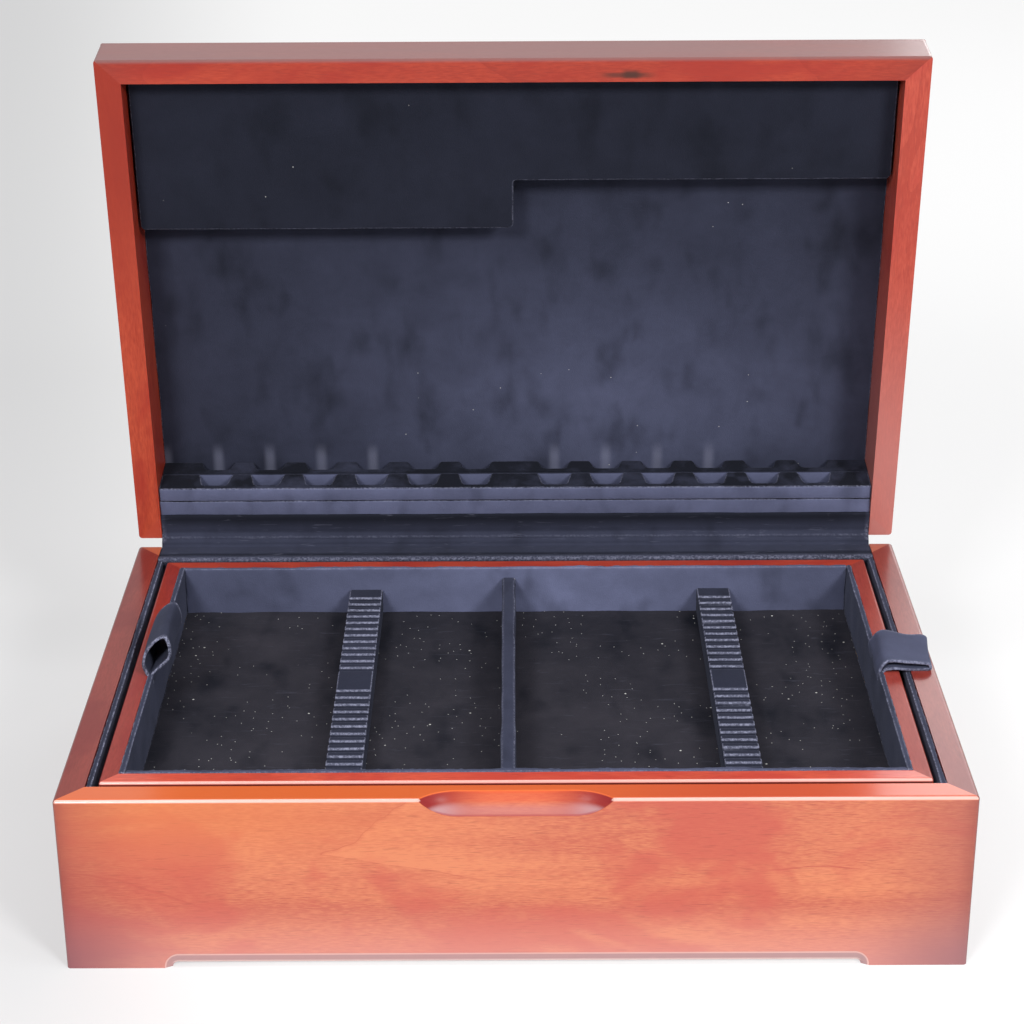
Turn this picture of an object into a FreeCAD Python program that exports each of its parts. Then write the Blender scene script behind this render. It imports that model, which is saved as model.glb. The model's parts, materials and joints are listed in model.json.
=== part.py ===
import FreeCAD, Part
import math
import os

V = FreeCAD.Vector

# Overall sizes of the box, in millimetres. While a piece is drawn, X is 0 in the middle, Y is 0
# at the front face and Z is 0 on the table. The lid is drawn shut and is opened at the end.
box_width = 460.0
box_depth = 306.0
base_height = 98.5
wall = 14.0
corner_round = 2.0
rim_round = 2.0

# Bracket feet: each side of the base is cut away between two feet. The edge of the cut is
# bevelled, steeply up the outer face.
foot_length = 54.0
arch_height = 2.6
arch_run = 3.0
arch_bevel_height = 6.0
arch_bevel_depth = 2.0
arch_bevel_end = 4.0
foot_block_leg = 24.0
foot_block_lift = 0.6

# Finger pull: a cove along the front top edge that runs out at both ends.
pull_length = 99.0
pull_straight = 58.0
pull_drop = 10.0
pull_reach = 9.2
pull_radius = 16.0

# Floor panel, let into grooves in the four walls.
floor_height = 9.0
floor_thickness = 5.0
groove_depth = 4.0

# Velvet-covered boards that line the base.
lining = 3.0
floor_lining = 2.0
side_lining_drop = 0.8
front_lining_drop = 6.0
ledge_width = 8.0
ledge_height = 10.0

# Lift-out tray.
tray_gap = 2.8
tray_drop = 1.0
tray_height = 36.0
bar = 9.0
bar_round = 1.5
tray_floor_lift = 2.0
tray_floor_thickness = 4.0
tray_groove = 3.0
tray_lining = 3.0
tray_lining_drop = 0.3
divider_width = 7.5
divider_height = 22.5
divider_x = -4.0
rack_width = 19.6
rack_height = 15.0
left_bay = 98.9
right_bay = 69.9
slots_per_group = 12
slot_pitch = 8.2
slot_width = 3.4
slot_depth = 5.0
rack_block = 19.2
rack_pattern_shift = 2.6
ridge_round = 0.9

# Pull tabs: loops of velvet tape, clamped beside the tray's lining.
tab_width = 43.0
tab_behind_middle = 5.0
tab_tape = 1.4
tab_stand = 25.0
tab_lean = 11.5
tab_belly = 4.0
tab_foot = 2.6
tab_flat_height = 4.0
tab_over_rim = 0.4
tab_edge_inset = 0.4

# Lid.
lid_side = 27.0
lid_rail_height = 38.0
lid_top_thickness = 8.0
lid_bevel_inset = 12.0
closing_gap = 0.3
lid_open_angle = 83.0
back_lining = 3.0

# Stepped pocket board for the blades, at the front of the lid.
flap_thickness = 3.0
flap_recess = 15.0
flap_side_gap = 1.3
flap_left_length = 94.0
flap_right_length = 64.5
flap_corner_round = 3.0
spacer_width = 6.0

# Knife rack at the back of the lid: two rows of notches, one behind the other.
rack_recess = 2.0
rack_base_height = 10.5
comb_height = 9.0
comb_spine = 4.2
front_comb_depth = 18.0
rear_comb_spine = 5.8
notches_per_side = 6
first_notch_x = 24.2
notch_pitch = 31.7
notch_front_width = 14.2
notch_rear_width = 19.7

# Velvet cover over the hinges.
cover_rebate = 1.6
cover_thickness = 1.4
cover_front_leg = 12.0
fold_clearance = 0.4
fold_thickness = 1.0
fold_end_inset = 2.0

# Two butt hinges behind the rear wall, each of five knuckles, with a headed pin and six screws.
hinge_inset = 80.0
hinge_length = 50.0
knuckle_radius = 3.2
knuckle_gap = 0.4
knuckles = 5
pin_radius = 1.5
pin_clearance = 0.05
pin_head_radius = 2.6
pin_head_thickness = 1.2
barrel_behind = 0.4
leaf_margin = 2.0
screw_radius = 1.5
screw_head_radius = 2.8
screw_length = 9.0
screw_spread = 17.0

# Places that follow from the sizes above.
half_width = box_width / 2
inner_x = half_width - wall
inner_front = wall
inner_rear = box_depth - wall
floor_top = floor_height + floor_thickness
lining_foot = floor_top + floor_lining
tray_x = inner_x - lining - tray_gap
tray_front = inner_front + lining + tray_gap
tray_rear = inner_rear - lining - cover_thickness - tray_gap
tray_top = base_height - tray_drop
tray_bottom = tray_top - tray_height
tray_inner_x = tray_x - bar
tray_inner_front = tray_front + bar
tray_inner_rear = tray_rear - bar
bay_x = tray_inner_x - tray_lining
bay_front = tray_inner_front + tray_lining
bay_rear = tray_inner_rear - tray_lining
tray_floor_bottom = tray_bottom + tray_floor_lift
tray_floor_top = tray_floor_bottom + tray_floor_thickness
bay_floor = tray_floor_top + floor_lining
rack_left_x = left_bay - bay_x + rack_width / 2
rack_right_x = bay_x - right_bay - rack_width / 2
tab_middle = (tray_front + tray_rear) / 2 + tab_behind_middle
tab_front = tab_middle - tab_width / 2
tab_rear = tab_middle + tab_width / 2
lid_seat = base_height + closing_gap
lid_roof = lid_seat + lid_rail_height
back_face = lid_roof - back_lining
pin_y = box_depth + knuckle_radius + barrel_behind
pin_z = base_height + closing_gap / 2
hinge_x = half_width - hinge_inset
leaf_front = inner_rear + leaf_margin
leaf_thickness = knuckle_radius - closing_gap / 2 - cover_rebate
screw_y = (leaf_front + box_depth) / 2


def block(x0, x1, y0, y1, z0, z1):
    """A plain block between two corners."""
    return Part.makeBox(x1 - x0, y1 - y0, z1 - z0, V(x0, y0, z0))


def face_of(edges):
    """The flat face inside a closed run of edges."""
    return Part.Face(Part.Wire(edges))


def outline(points, place):
    """A flat face through points given as pairs, each put in space by place(a, b)."""
    corners = [place(a, b) for a, b in points]
    corners.append(corners[0])
    return Part.Face(Part.makePolygon(corners))


def plan_prism(points, z0, z1):
    """A prism over an outline in X and Y."""
    return outline(points, lambda x, y: V(x, y, z0)).extrude(V(0, 0, z1 - z0))


def side_prism(points, x0, x1):
    """A prism along X over an outline in Y and Z."""
    return outline(points, lambda y, z: V(x0, y, z)).extrude(V(x1 - x0, 0, 0))


def front_prism(points, y0, y1):
    """A prism along Y over an outline in X and Z."""
    return outline(points, lambda x, z: V(x, y0, z)).extrude(V(0, y1 - y0, 0))


def joined(shapes):
    """One solid from pieces that touch or overlap."""
    whole = shapes[0]
    if len(shapes) > 1:
        whole = whole.fuse(shapes[1:])
    return whole.removeSplitter()


def edges_where(shape, test):
    """The edges of a shape whose two ends both pass a test."""
    return [e for e in shape.Edges if all(test(v.Point) for v in e.Vertexes)]


def near(a, b):
    """Whether two lengths are the same."""
    return abs(a - b) < 1e-6


def is_upright(edge):
    """Whether an edge runs along Z."""
    ends = [v.Point for v in edge.Vertexes]
    return near(ends[0].x, ends[1].x) and near(ends[0].y, ends[1].y)


def mitred(frame, x, y0, y1):
    """A rectangular frame sawn into its four mitred pieces."""
    reach = (y1 - y0) / 2
    low = frame.BoundBox.ZMin - 1
    high = frame.BoundBox.ZMax + 1
    wedges = {
        "front": [(-x, y0), (x, y0), (x - reach, y0 + reach), (reach - x, y0 + reach)],
        "rear": [(-x, y1), (x, y1), (x - reach, y1 - reach), (reach - x, y1 - reach)],
        "left": [(-x, y0), (reach - x, y0 + reach), (-x, y1)],
        "right": [(x, y0), (x - reach, y0 + reach), (x, y1)],
    }
    return {side: frame.common(plan_prism(w, low, high)) for side, w in wedges.items()}


def arch_outline(middle, half, foot, run, height, place):
    """The gap between two feet of one side: a slot with a rounded shoulder at each end."""
    near_foot = middle - half + foot
    far_foot = middle + half - foot
    bend = run * (1 - math.sqrt(0.5))
    rise = height * math.sqrt(0.5)
    points = [(near_foot, -arch_height), (near_foot, 0), (near_foot + bend, rise),
              (near_foot + run, height), (far_foot - run, height),
              (far_foot - bend, rise), (far_foot, 0), (far_foot, -arch_height)]
    p = [place(a, b) for a, b in points]
    return Part.Wire([
        Part.makeLine(p[0], p[1]),
        Part.Arc(p[1], p[2], p[3]).toShape(),
        Part.makeLine(p[3], p[4]),
        Part.Arc(p[4], p[5], p[6]).toShape(),
        Part.makeLine(p[6], p[7]),
        Part.makeLine(p[7], p[0]),
    ])


def arch_cutters(middle, half, place, depth):
    """Both arches of two facing sides: the way through below, and a bevel at each face.
    Place turns (along, across, up) into a point, with the faces at across = 0 and depth."""
    def outline(across, share):
        """The outline that grows from the arch's own, at share 0, to the face's, at 1."""
        return arch_outline(middle, half, foot_length - arch_bevel_end * share,
                            arch_run + arch_bevel_end * share,
                            arch_height + arch_bevel_height * share,
                            lambda a, b: place(a, across, b))
    through = Part.Face(outline(-1, 0)).extrude(place(0, depth + 2, 0) - place(0, 0, 0))
    # Each bevel starts 1 mm outside the face.
    outside = 1 + 1 / arch_bevel_depth
    near_bevel = Part.makeLoft([outline(-1, outside), outline(arch_bevel_depth, 0)], True, True)
    far_bevel = Part.makeLoft([outline(depth + 1, outside),
                               outline(depth - arch_bevel_depth, 0)], True, True)
    return [through, near_bevel, far_bevel]


def finger_pull():
    """The cutter for the finger pull: a round bar that narrows to both ends, across the rim."""
    # The bar's axis is placed so that it cuts pull_drop down the front and pull_reach
    # back over the top.
    tilt = pull_reach / pull_drop
    offset = (pull_reach ** 2 - pull_drop ** 2) / (2 * pull_drop)
    a = 1 + tilt ** 2
    b = 2 * tilt * (offset + pull_drop)
    c = (offset + pull_drop) ** 2 - pull_radius ** 2
    ahead = (math.sqrt(b ** 2 - 4 * a * c) - b) / (2 * a)
    above = tilt * ahead + offset
    # At its ends the bar is just thin enough to miss the rim.
    end_radius = math.hypot(ahead, above)
    narrowing = pull_radius - end_radius
    straight = pull_straight / 2
    end = pull_length / 2
    run = end - straight
    bend = (run ** 2 + narrowing ** 2) / (2 * narrowing)
    half_run = run / 2
    half_radius = pull_radius - bend + math.sqrt(bend ** 2 - half_run ** 2)
    points = [(-end, 0), (-end, end_radius), (-straight - half_run, half_radius),
              (-straight, pull_radius), (straight, pull_radius),
              (straight + half_run, half_radius), (end, end_radius), (end, 0)]
    p = [V(x, -ahead, base_height + above - r) for x, r in points]
    profile = face_of([
        Part.makeLine(p[0], p[1]),
        Part.Arc(p[1], p[2], p[3]).toShape(),
        Part.makeLine(p[3], p[4]),
        Part.Arc(p[4], p[5], p[6]).toShape(),
        Part.makeLine(p[6], p[7]),
        Part.makeLine(p[7], p[0]),
    ])
    return profile.revolve(p[0], V(1, 0, 0), 360)


def base_walls():
    """The four mitred walls of the base, with feet, finger pull, floor groove and rear rebate."""
    outer = block(-half_width, half_width, 0, box_depth, 0, base_height)
    outer = outer.makeFillet(corner_round, [e for e in outer.Edges if is_upright(e)])
    rim = edges_where(outer, lambda p: near(p.z, base_height))
    outer = outer.makeFillet(rim_round, rim)
    hollow = block(-inner_x, inner_x, inner_front, inner_rear, -1, base_height + 1)
    frame = outer.cut(hollow)
    middle = box_depth / 2
    frame = frame.cut(arch_cutters(0, half_width, lambda a, b, c: V(a, b, c), box_depth))
    frame = frame.cut(arch_cutters(middle, middle, lambda a, b, c: V(b - half_width, a, c),
                                   box_width))
    groove = block(-inner_x - groove_depth, inner_x + groove_depth, inner_front - groove_depth,
                   inner_rear + groove_depth, floor_height, floor_top)
    rebate = block(-inner_x, inner_x, inner_rear, box_depth + 1,
                   base_height - cover_rebate, base_height + 1)
    frame = frame.cut([groove, rebate, finger_pull()])
    walls = mitred(frame, half_width, 0, box_depth)
    mortises = [leaf_block(x, "base") for x in (-hinge_x, hinge_x)]
    walls["rear"] = walls["rear"].cut(mortises + base_screw_shapes())
    return walls


def foot_blocks():
    """Four glued corner blocks behind the feet, under the floor."""
    blocks = []
    for sx in (-1, 1):
        for y, sy in ((inner_front, 1), (inner_rear, -1)):
            corner = [(sx * inner_x, y), (sx * (inner_x - foot_block_leg), y),
                      (sx * inner_x, y + sy * foot_block_leg)]
            blocks.append(plan_prism(corner, foot_block_lift, floor_height))
    return Part.makeCompound(blocks)


def base_nodes():
    """Everything that stays on the table."""
    walls = base_walls()
    nodes = {"base_" + side + "_panel": shape for side, shape in walls.items()}
    nodes["base_floor_panel"] = block(
        -inner_x - groove_depth, inner_x + groove_depth, inner_front - groove_depth,
        inner_rear + groove_depth, floor_height, floor_top)
    nodes["base_foot_blocks"] = foot_blocks()
    nodes["base_floor_lining"] = block(-inner_x, inner_x, inner_front, inner_rear,
                                       floor_top, lining_foot)
    side_top = base_height - side_lining_drop
    cover_seat = base_height - cover_rebate
    ledge_x = inner_x - lining
    for side, s in (("left", -1), ("right", 1)):
        nodes["base_" + side + "_lining"] = block(
            min(s * inner_x, s * ledge_x), max(s * inner_x, s * ledge_x),
            inner_front, inner_rear - lining, lining_foot, side_top)
        ledge_in = s * (ledge_x - ledge_width)
        nodes["tray_ledge_" + side] = block(
            min(s * ledge_x, ledge_in), max(s * ledge_x, ledge_in),
            inner_front + lining, inner_rear - lining,
            tray_bottom - ledge_height, tray_bottom)
    nodes["base_front_lining"] = block(-ledge_x, ledge_x, inner_front, inner_front + lining,
                                       lining_foot, base_height - front_lining_drop)
    nodes["base_rear_lining"] = block(-inner_x, inner_x, inner_rear - lining, inner_rear,
                                      lining_foot, cover_seat)
    nodes["hinge_cover_base"] = base_cover(cover_seat)
    nodes["hinge_cover_fold"] = cover_fold()
    nodes["hinge_base_screws"] = Part.makeCompound(base_screw_shapes())
    for side, x in (("left", -hinge_x), ("right", hinge_x)):
        nodes["hinge_" + side + "_base_leaf"] = hinge_leaf(x, "base")
        nodes["hinge_" + side + "_pin"] = hinge_pin(x)
    return nodes


def base_cover(seat):
    """Velvet over the rear wall and its lining, turned down at the front."""
    rear_lining_face = inner_rear - lining
    leg_face = rear_lining_face - cover_thickness
    top = seat + cover_thickness
    ledge_x = inner_x - lining
    flat = block(-inner_x, inner_x, rear_lining_face, box_depth, seat, top)
    leg = block(-ledge_x, ledge_x, leg_face, rear_lining_face, top - cover_front_leg, top)
    return joined([flat, leg])


def cover_fold():
    """The velvet between base and lid: a quarter roll in front of the hinge knuckles."""
    inner = knuckle_radius + fold_clearance
    outer = inner + fold_thickness
    x0 = -inner_x + fold_end_inset
    length = 2 * (inner_x - fold_end_inset)
    roll = Part.makeCylinder(outer, length, V(x0, pin_y, pin_z), V(1, 0, 0))
    roll = roll.cut(Part.makeCylinder(inner, length, V(x0, pin_y, pin_z), V(1, 0, 0)))
    cover_top = base_height - cover_rebate + cover_thickness
    # The lid's rear face stands at this height when the lid is open.
    lean = math.radians(90 - lid_open_angle)
    top_gap = fold_clearance / math.cos(lean)
    quarter = block(x0, x0 + length, pin_y - outer, pin_y - top_gap, cover_top, pin_z + outer)
    return roll.common(quarter)


def leaf_block(x, body):
    """The flat of one hinge leaf, as wide as the mortise that it is let into."""
    low = pin_z - knuckle_radius
    if body == "lid":
        low = pin_z + knuckle_radius - leaf_thickness
    return block(x - hinge_length / 2, x + hinge_length / 2, leaf_front, box_depth,
                 low, low + leaf_thickness)


def hinge_leaf(x, body):
    """A hinge leaf with its own knuckles: the first, third and fifth are on the base."""
    flat = leaf_block(x, body)
    low = flat.BoundBox.ZMin
    pitch = hinge_length / knuckles
    first = 0 if body == "base" else 1
    shapes = [flat]
    bores = []
    for i in range(first, knuckles, 2):
        x0 = x - hinge_length / 2 + i * pitch + knuckle_gap / 2
        length = pitch - knuckle_gap
        shapes.append(Part.makeCylinder(knuckle_radius, length, V(x0, pin_y, pin_z), V(1, 0, 0)))
        shapes.append(block(x0, x0 + length, box_depth, pin_y, low, low + leaf_thickness))
        bores.append(Part.makeCylinder(pin_radius + pin_clearance, length + 2,
                                       V(x0 - 1, pin_y, pin_z), V(1, 0, 0)))
    screws = base_screw_shapes() if body == "base" else lid_screw_shapes()
    return joined(shapes).cut(bores + screws)


def hinge_pin(x):
    """A hinge pin with a flat head on each end knuckle."""
    start = x - hinge_length / 2 + knuckle_gap / 2
    length = hinge_length - knuckle_gap
    shank = Part.makeCylinder(pin_radius, length, V(start, pin_y, pin_z), V(1, 0, 0))
    heads = [Part.makeCylinder(pin_head_radius, pin_head_thickness, V(x0, pin_y, pin_z),
                               V(1, 0, 0))
             for x0 in (start - pin_head_thickness, start + length)]
    return joined([shank] + heads)


def screw(x, z, way):
    """A countersunk screw whose head is flush at height z and whose shank runs up or down."""
    axis = V(0, 0, way)
    neck = screw_head_radius - screw_radius
    head = Part.makeCone(screw_head_radius, screw_radius, neck, V(x, screw_y, z), axis)
    shank = Part.makeCylinder(screw_radius, screw_length - neck,
                              V(x, screw_y, z + way * neck), axis)
    return joined([head, shank])


def screw_places():
    """The X of every screw in one row of leaves."""
    return [x + step for x in (-hinge_x, hinge_x) for step in (-screw_spread, 0, screw_spread)]


def base_screw_shapes():
    """The screws that hold the lower leaves."""
    return [screw(x, base_height - cover_rebate, -1) for x in screw_places()]


def lid_screw_shapes():
    """The screws that hold the upper leaves, with the lid shut."""
    return [screw(x, lid_seat + cover_rebate, 1) for x in screw_places()]


def tray_frame():
    """The four mitred bars of the tray, rounded along the outer top edge."""
    outer = block(-tray_x, tray_x, tray_front, tray_rear, tray_bottom, tray_top)
    outer = outer.makeFillet(bar_round, [e for e in outer.Edges if is_upright(e)])
    outer = outer.makeFillet(bar_round, edges_where(outer, lambda p: near(p.z, tray_top)))
    hollow = block(-tray_inner_x, tray_inner_x, tray_inner_front, tray_inner_rear,
                   tray_bottom - 1, tray_top + 1)
    frame = outer.cut([hollow, tray_floor()])
    return mitred(frame, tray_x, tray_front, tray_rear)


def tray_floor():
    """The tray's floor panel, let into grooves in the bars."""
    return block(-tray_inner_x - tray_groove, tray_inner_x + tray_groove,
                 tray_inner_front - tray_groove, tray_inner_rear + tray_groove,
                 tray_floor_bottom, tray_floor_top)


def slot_centres():
    """The Y of every slot of a rack: two equal groups with a plain block between them."""
    middle = (bay_front + bay_rear) / 2 + rack_pattern_shift
    first = rack_block / 2 + slot_pitch / 2
    steps = [first + i * slot_pitch for i in range(slots_per_group)]
    return sorted([middle - s for s in steps] + [middle + s for s in steps])


def spoon_rack(x):
    """A ribbed rack: a block with slots across its top and rounded ridges between them."""
    top = bay_floor + rack_height
    rack = block(x - rack_width / 2, x + rack_width / 2, bay_front, bay_rear, bay_floor, top)
    slots = [block(x - rack_width, x + rack_width, y - slot_width / 2, y + slot_width / 2,
                   top - slot_depth, top + 1) for y in slot_centres()]
    rack = rack.cut(slots)
    ridges = [e for e in edges_where(rack, lambda p: near(p.z, top))
              if near(e.BoundBox.YLength, 0) and bay_front < e.BoundBox.YMin < bay_rear]
    return rack.makeFillet(ridge_round, ridges)


def standing_tab():
    """The left pull tab: a loop of tape that stands on the tray's edge and leans inward."""
    root = -tray_inner_x
    low = tray_top
    high = low + tab_stand
    tip = V(root + tab_lean, tab_front, high)
    outer_side = V(root - tab_foot / 2 + tab_belly / 2, tab_front, low + tab_stand / 2)
    inner_side = V(root + tab_lean + tab_belly, tab_front, low + tab_stand * 0.6)
    foot_out = V(root - tab_foot, tab_front, low)
    foot_in = V(root + tab_foot, tab_front, low)
    loop = face_of([
        Part.Arc(foot_out, outer_side, tip).toShape(),
        Part.Arc(tip, inner_side, foot_in).toShape(),
        Part.makeLine(foot_in, foot_out),
    ])
    hollow = loop.makeOffset2D(-tab_tape)
    return loop.cut(hollow).extrude(V(0, tab_width, 0))


def lying_tab():
    """The right pull tab: the same loop, flat on its side across the tray's edge and the wall."""
    low = base_height + tab_over_rim
    high = low + tab_flat_height
    x0 = tray_inner_x + tab_edge_inset
    x1 = half_width - tab_edge_inset
    loop = block(x0, x1, tab_front, tab_rear, low, high)
    bends = [e for e in loop.Edges if near(e.BoundBox.XLength, 0) and e.BoundBox.YLength > 1]
    loop = loop.makeFillet(tab_flat_height / 2 - 0.01, bends)
    hollow = block(x0 + tab_tape, x1 - tab_tape, tab_front - 1, tab_rear + 1,
                   low + tab_tape, high - tab_tape)
    foot = block(x0 + tab_flat_height / 2, x0 + tab_flat_height / 2 + tab_foot,
                 tab_front, tab_rear, tray_top, low + tab_tape / 2)
    return joined([loop.cut(hollow), foot])


def tray_nodes():
    """The lift-out tray and all that is fixed in it."""
    nodes = {"tray_" + side + "_bar": shape for side, shape in tray_frame().items()}
    nodes["tray_floor_panel"] = tray_floor()
    nodes["tray_floor_lining"] = block(-bay_x, bay_x, bay_front, bay_rear,
                                       tray_floor_top, bay_floor)
    lining_top = tray_top - tray_lining_drop
    nodes["tray_left_lining"] = block(-tray_inner_x, -bay_x, tray_inner_front, tray_inner_rear,
                                      tray_floor_top, lining_top)
    nodes["tray_right_lining"] = block(bay_x, tray_inner_x, tray_inner_front, tray_inner_rear,
                                       tray_floor_top, lining_top)
    nodes["tray_front_lining"] = block(-bay_x, bay_x, tray_inner_front, bay_front,
                                       tray_floor_top, lining_top)
    nodes["tray_rear_lining"] = block(-bay_x, bay_x, bay_rear, tray_inner_rear,
                                      tray_floor_top, lining_top)
    nodes["tray_divider"] = block(divider_x - divider_width / 2, divider_x + divider_width / 2,
                                  bay_front, bay_rear, bay_floor, bay_floor + divider_height)
    nodes["spoon_rack_left"] = spoon_rack(rack_left_x)
    nodes["spoon_rack_right"] = spoon_rack(rack_right_x)
    nodes["pull_tab_left"] = standing_tab()
    nodes["pull_tab_right"] = lying_tab()
    return nodes


def lid_rails():
    """The four mitred rails of the lid: upright sides, bevelled above, rebated at the rear."""
    hollow = block(-inner_x, inner_x, inner_front, inner_rear, lid_seat - 1, lid_roof + 1)
    rebate = block(-inner_x, inner_x, inner_rear, box_depth + 1,
                   lid_seat - 1, lid_seat + cover_rebate)
    frame = lid_body().common(block(-half_width, half_width, 0, box_depth, lid_seat, lid_roof))
    rails = mitred(frame.cut([hollow, rebate]), half_width, 0, box_depth)
    mortises = [leaf_block(x, "lid") for x in (-hinge_x, hinge_x)]
    rails["rear"] = rails["rear"].cut(mortises + lid_screw_shapes())
    return rails


def lid_body():
    """The outside of the lid as one block: upright sides and a bevel up to a flat top."""
    shoulder = lid_seat + lid_side
    crown = lid_roof + lid_top_thickness
    lower = block(-half_width, half_width, 0, box_depth, lid_seat, shoulder)
    lower = lower.makeFillet(corner_round, [e for e in lower.Edges if is_upright(e)])
    c = lid_bevel_inset
    bottom = Part.makePolygon([V(-half_width, 0, shoulder), V(half_width, 0, shoulder),
                               V(half_width, box_depth, shoulder),
                               V(-half_width, box_depth, shoulder), V(-half_width, 0, shoulder)])
    top = Part.makePolygon([V(c - half_width, c, crown), V(half_width - c, c, crown),
                            V(half_width - c, box_depth - c, crown),
                            V(c - half_width, box_depth - c, crown), V(c - half_width, c, crown)])
    upper = Part.makeLoft([bottom, top], True, True)
    slopes = [e for e in upper.Edges if not near(e.BoundBox.ZLength, 0)]
    upper = upper.makeFillet(corner_round, slopes)
    rims = edges_where(upper, lambda p: near(p.z, crown))
    upper = upper.makeFillet(rim_round, rims)
    return joined([lower, upper])


def flap():
    """The stepped pocket board: longer on the left half than on the right."""
    x = inner_x - flap_side_gap
    left_end = inner_front + flap_left_length
    right_end = inner_front + flap_right_length
    z0 = lid_seat + flap_recess
    shape = plan_prism([(-x, inner_front), (x, inner_front), (x, right_end), (0, right_end),
                        (0, left_end), (-x, left_end)], z0, z0 + flap_thickness)
    corners = [e for e in shape.Edges if is_upright(e) and e.BoundBox.YMin > right_end - 1]
    return shape.makeFillet(flap_corner_round, corners)


def notch_centres():
    """The X of every knife place."""
    side = [first_notch_x + i * notch_pitch for i in range(notches_per_side)]
    return [-x for x in reversed(side)] + side


def comb(z0, spine, z1):
    """One row of the knife rack: a spine in front, with notches behind that widen to the back."""
    top = inner_rear - rack_base_height - comb_height
    bottom = inner_rear - rack_base_height
    row = block(-inner_x, inner_x, top, bottom, z0, z1)
    front = z0 + spine
    notches = []
    for x in notch_centres():
        near_half = notch_front_width / 2
        far_half = notch_rear_width / 2
        notches.append(front_prism([(x - near_half, front), (x + near_half, front),
                                    (x + far_half, z1), (x - far_half, z1)], top, bottom))
    return row.cut(notches)


def lid_nodes():
    """The lid and all that is fixed in it, drawn shut."""
    nodes = {"lid_" + side + "_rail": shape for side, shape in lid_rails().items()}
    nodes["lid_top_panel"] = lid_body().common(
        block(-half_width, half_width, 0, box_depth, lid_roof, lid_roof + lid_top_thickness))
    nodes["lid_back_lining"] = block(-inner_x, inner_x, inner_front, inner_rear,
                                     back_face, lid_roof)
    nodes["blade_pocket_flap"] = flap()
    pocket_front = lid_seat + flap_recess + flap_thickness
    x = inner_x - flap_side_gap
    spacer_end = inner_front + flap_right_length
    nodes["pocket_spacer_front"] = block(-x, x, inner_front, inner_front + spacer_width,
                                         pocket_front, back_face)
    nodes["pocket_spacer_left"] = block(-x, spacer_width - x, inner_front + spacer_width,
                                        spacer_end, pocket_front, back_face)
    nodes["pocket_spacer_right"] = block(x - spacer_width, x, inner_front + spacer_width,
                                         spacer_end, pocket_front, back_face)
    front_row = lid_seat + rack_recess
    joint_line = front_row + front_comb_depth
    nodes["knife_rack_base"] = block(-inner_x, inner_x, inner_rear - rack_base_height,
                                     inner_rear, front_row, back_face)
    nodes["knife_rack_front_comb"] = comb(front_row, comb_spine, joint_line)
    nodes["knife_rack_rear_comb"] = comb(joint_line, rear_comb_spine, back_face)
    seat = lid_seat + cover_rebate
    nodes["hinge_cover_lid"] = block(-inner_x, inner_x, inner_rear, box_depth,
                                     seat - cover_thickness, seat)
    nodes["hinge_lid_screws"] = Part.makeCompound(lid_screw_shapes())
    for side, x in (("left", -hinge_x), ("right", hinge_x)):
        nodes["hinge_" + side + "_lid_leaf"] = hinge_leaf(x, "lid")
    return nodes


def opened(shape):
    """A lid piece turned about the hinge pins to where the open lid stands."""
    turned = shape.copy()
    turned.rotate(V(0, pin_y, pin_z), V(1, 0, 0), -lid_open_angle)
    return turned


def write_parts():
    """Every piece in its own file, with the origin on the table under the middle of the box."""
    nodes = base_nodes()
    nodes.update(tray_nodes())
    nodes.update({name: opened(shape) for name, shape in lid_nodes().items()})
    rear = max(shape.BoundBox.YMax for shape in nodes.values())
    os.makedirs("parts", exist_ok=True)
    for name, shape in nodes.items():
        shape.translate(V(0, -rear / 2, 0))
        shape.exportStep("parts/" + name + ".step")
    print("pieces:", len(nodes))
    print("middle of the whole object behind the front face:", round(rear / 2, 4))
    print("hinge axis: y", round(pin_y - rear / 2, 4), "z", round(pin_z, 4))


write_parts()
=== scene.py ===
"""An open cutlery box: stained wood, velvet-wrapped boards, racks, pull tabs and hinge cover.

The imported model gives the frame. Every velvet piece is worked out here as arrays of points and
stands for the plain solid of the same place. Lengths are in millimetres until a mesh is made,
and the lid's pieces are drawn shut.
"""

import json
import math

import bpy
import numpy as np
from bpy.props import FloatProperty, FloatVectorProperty, IntProperty, PointerProperty
from mathutils import Matrix, Vector

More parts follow.
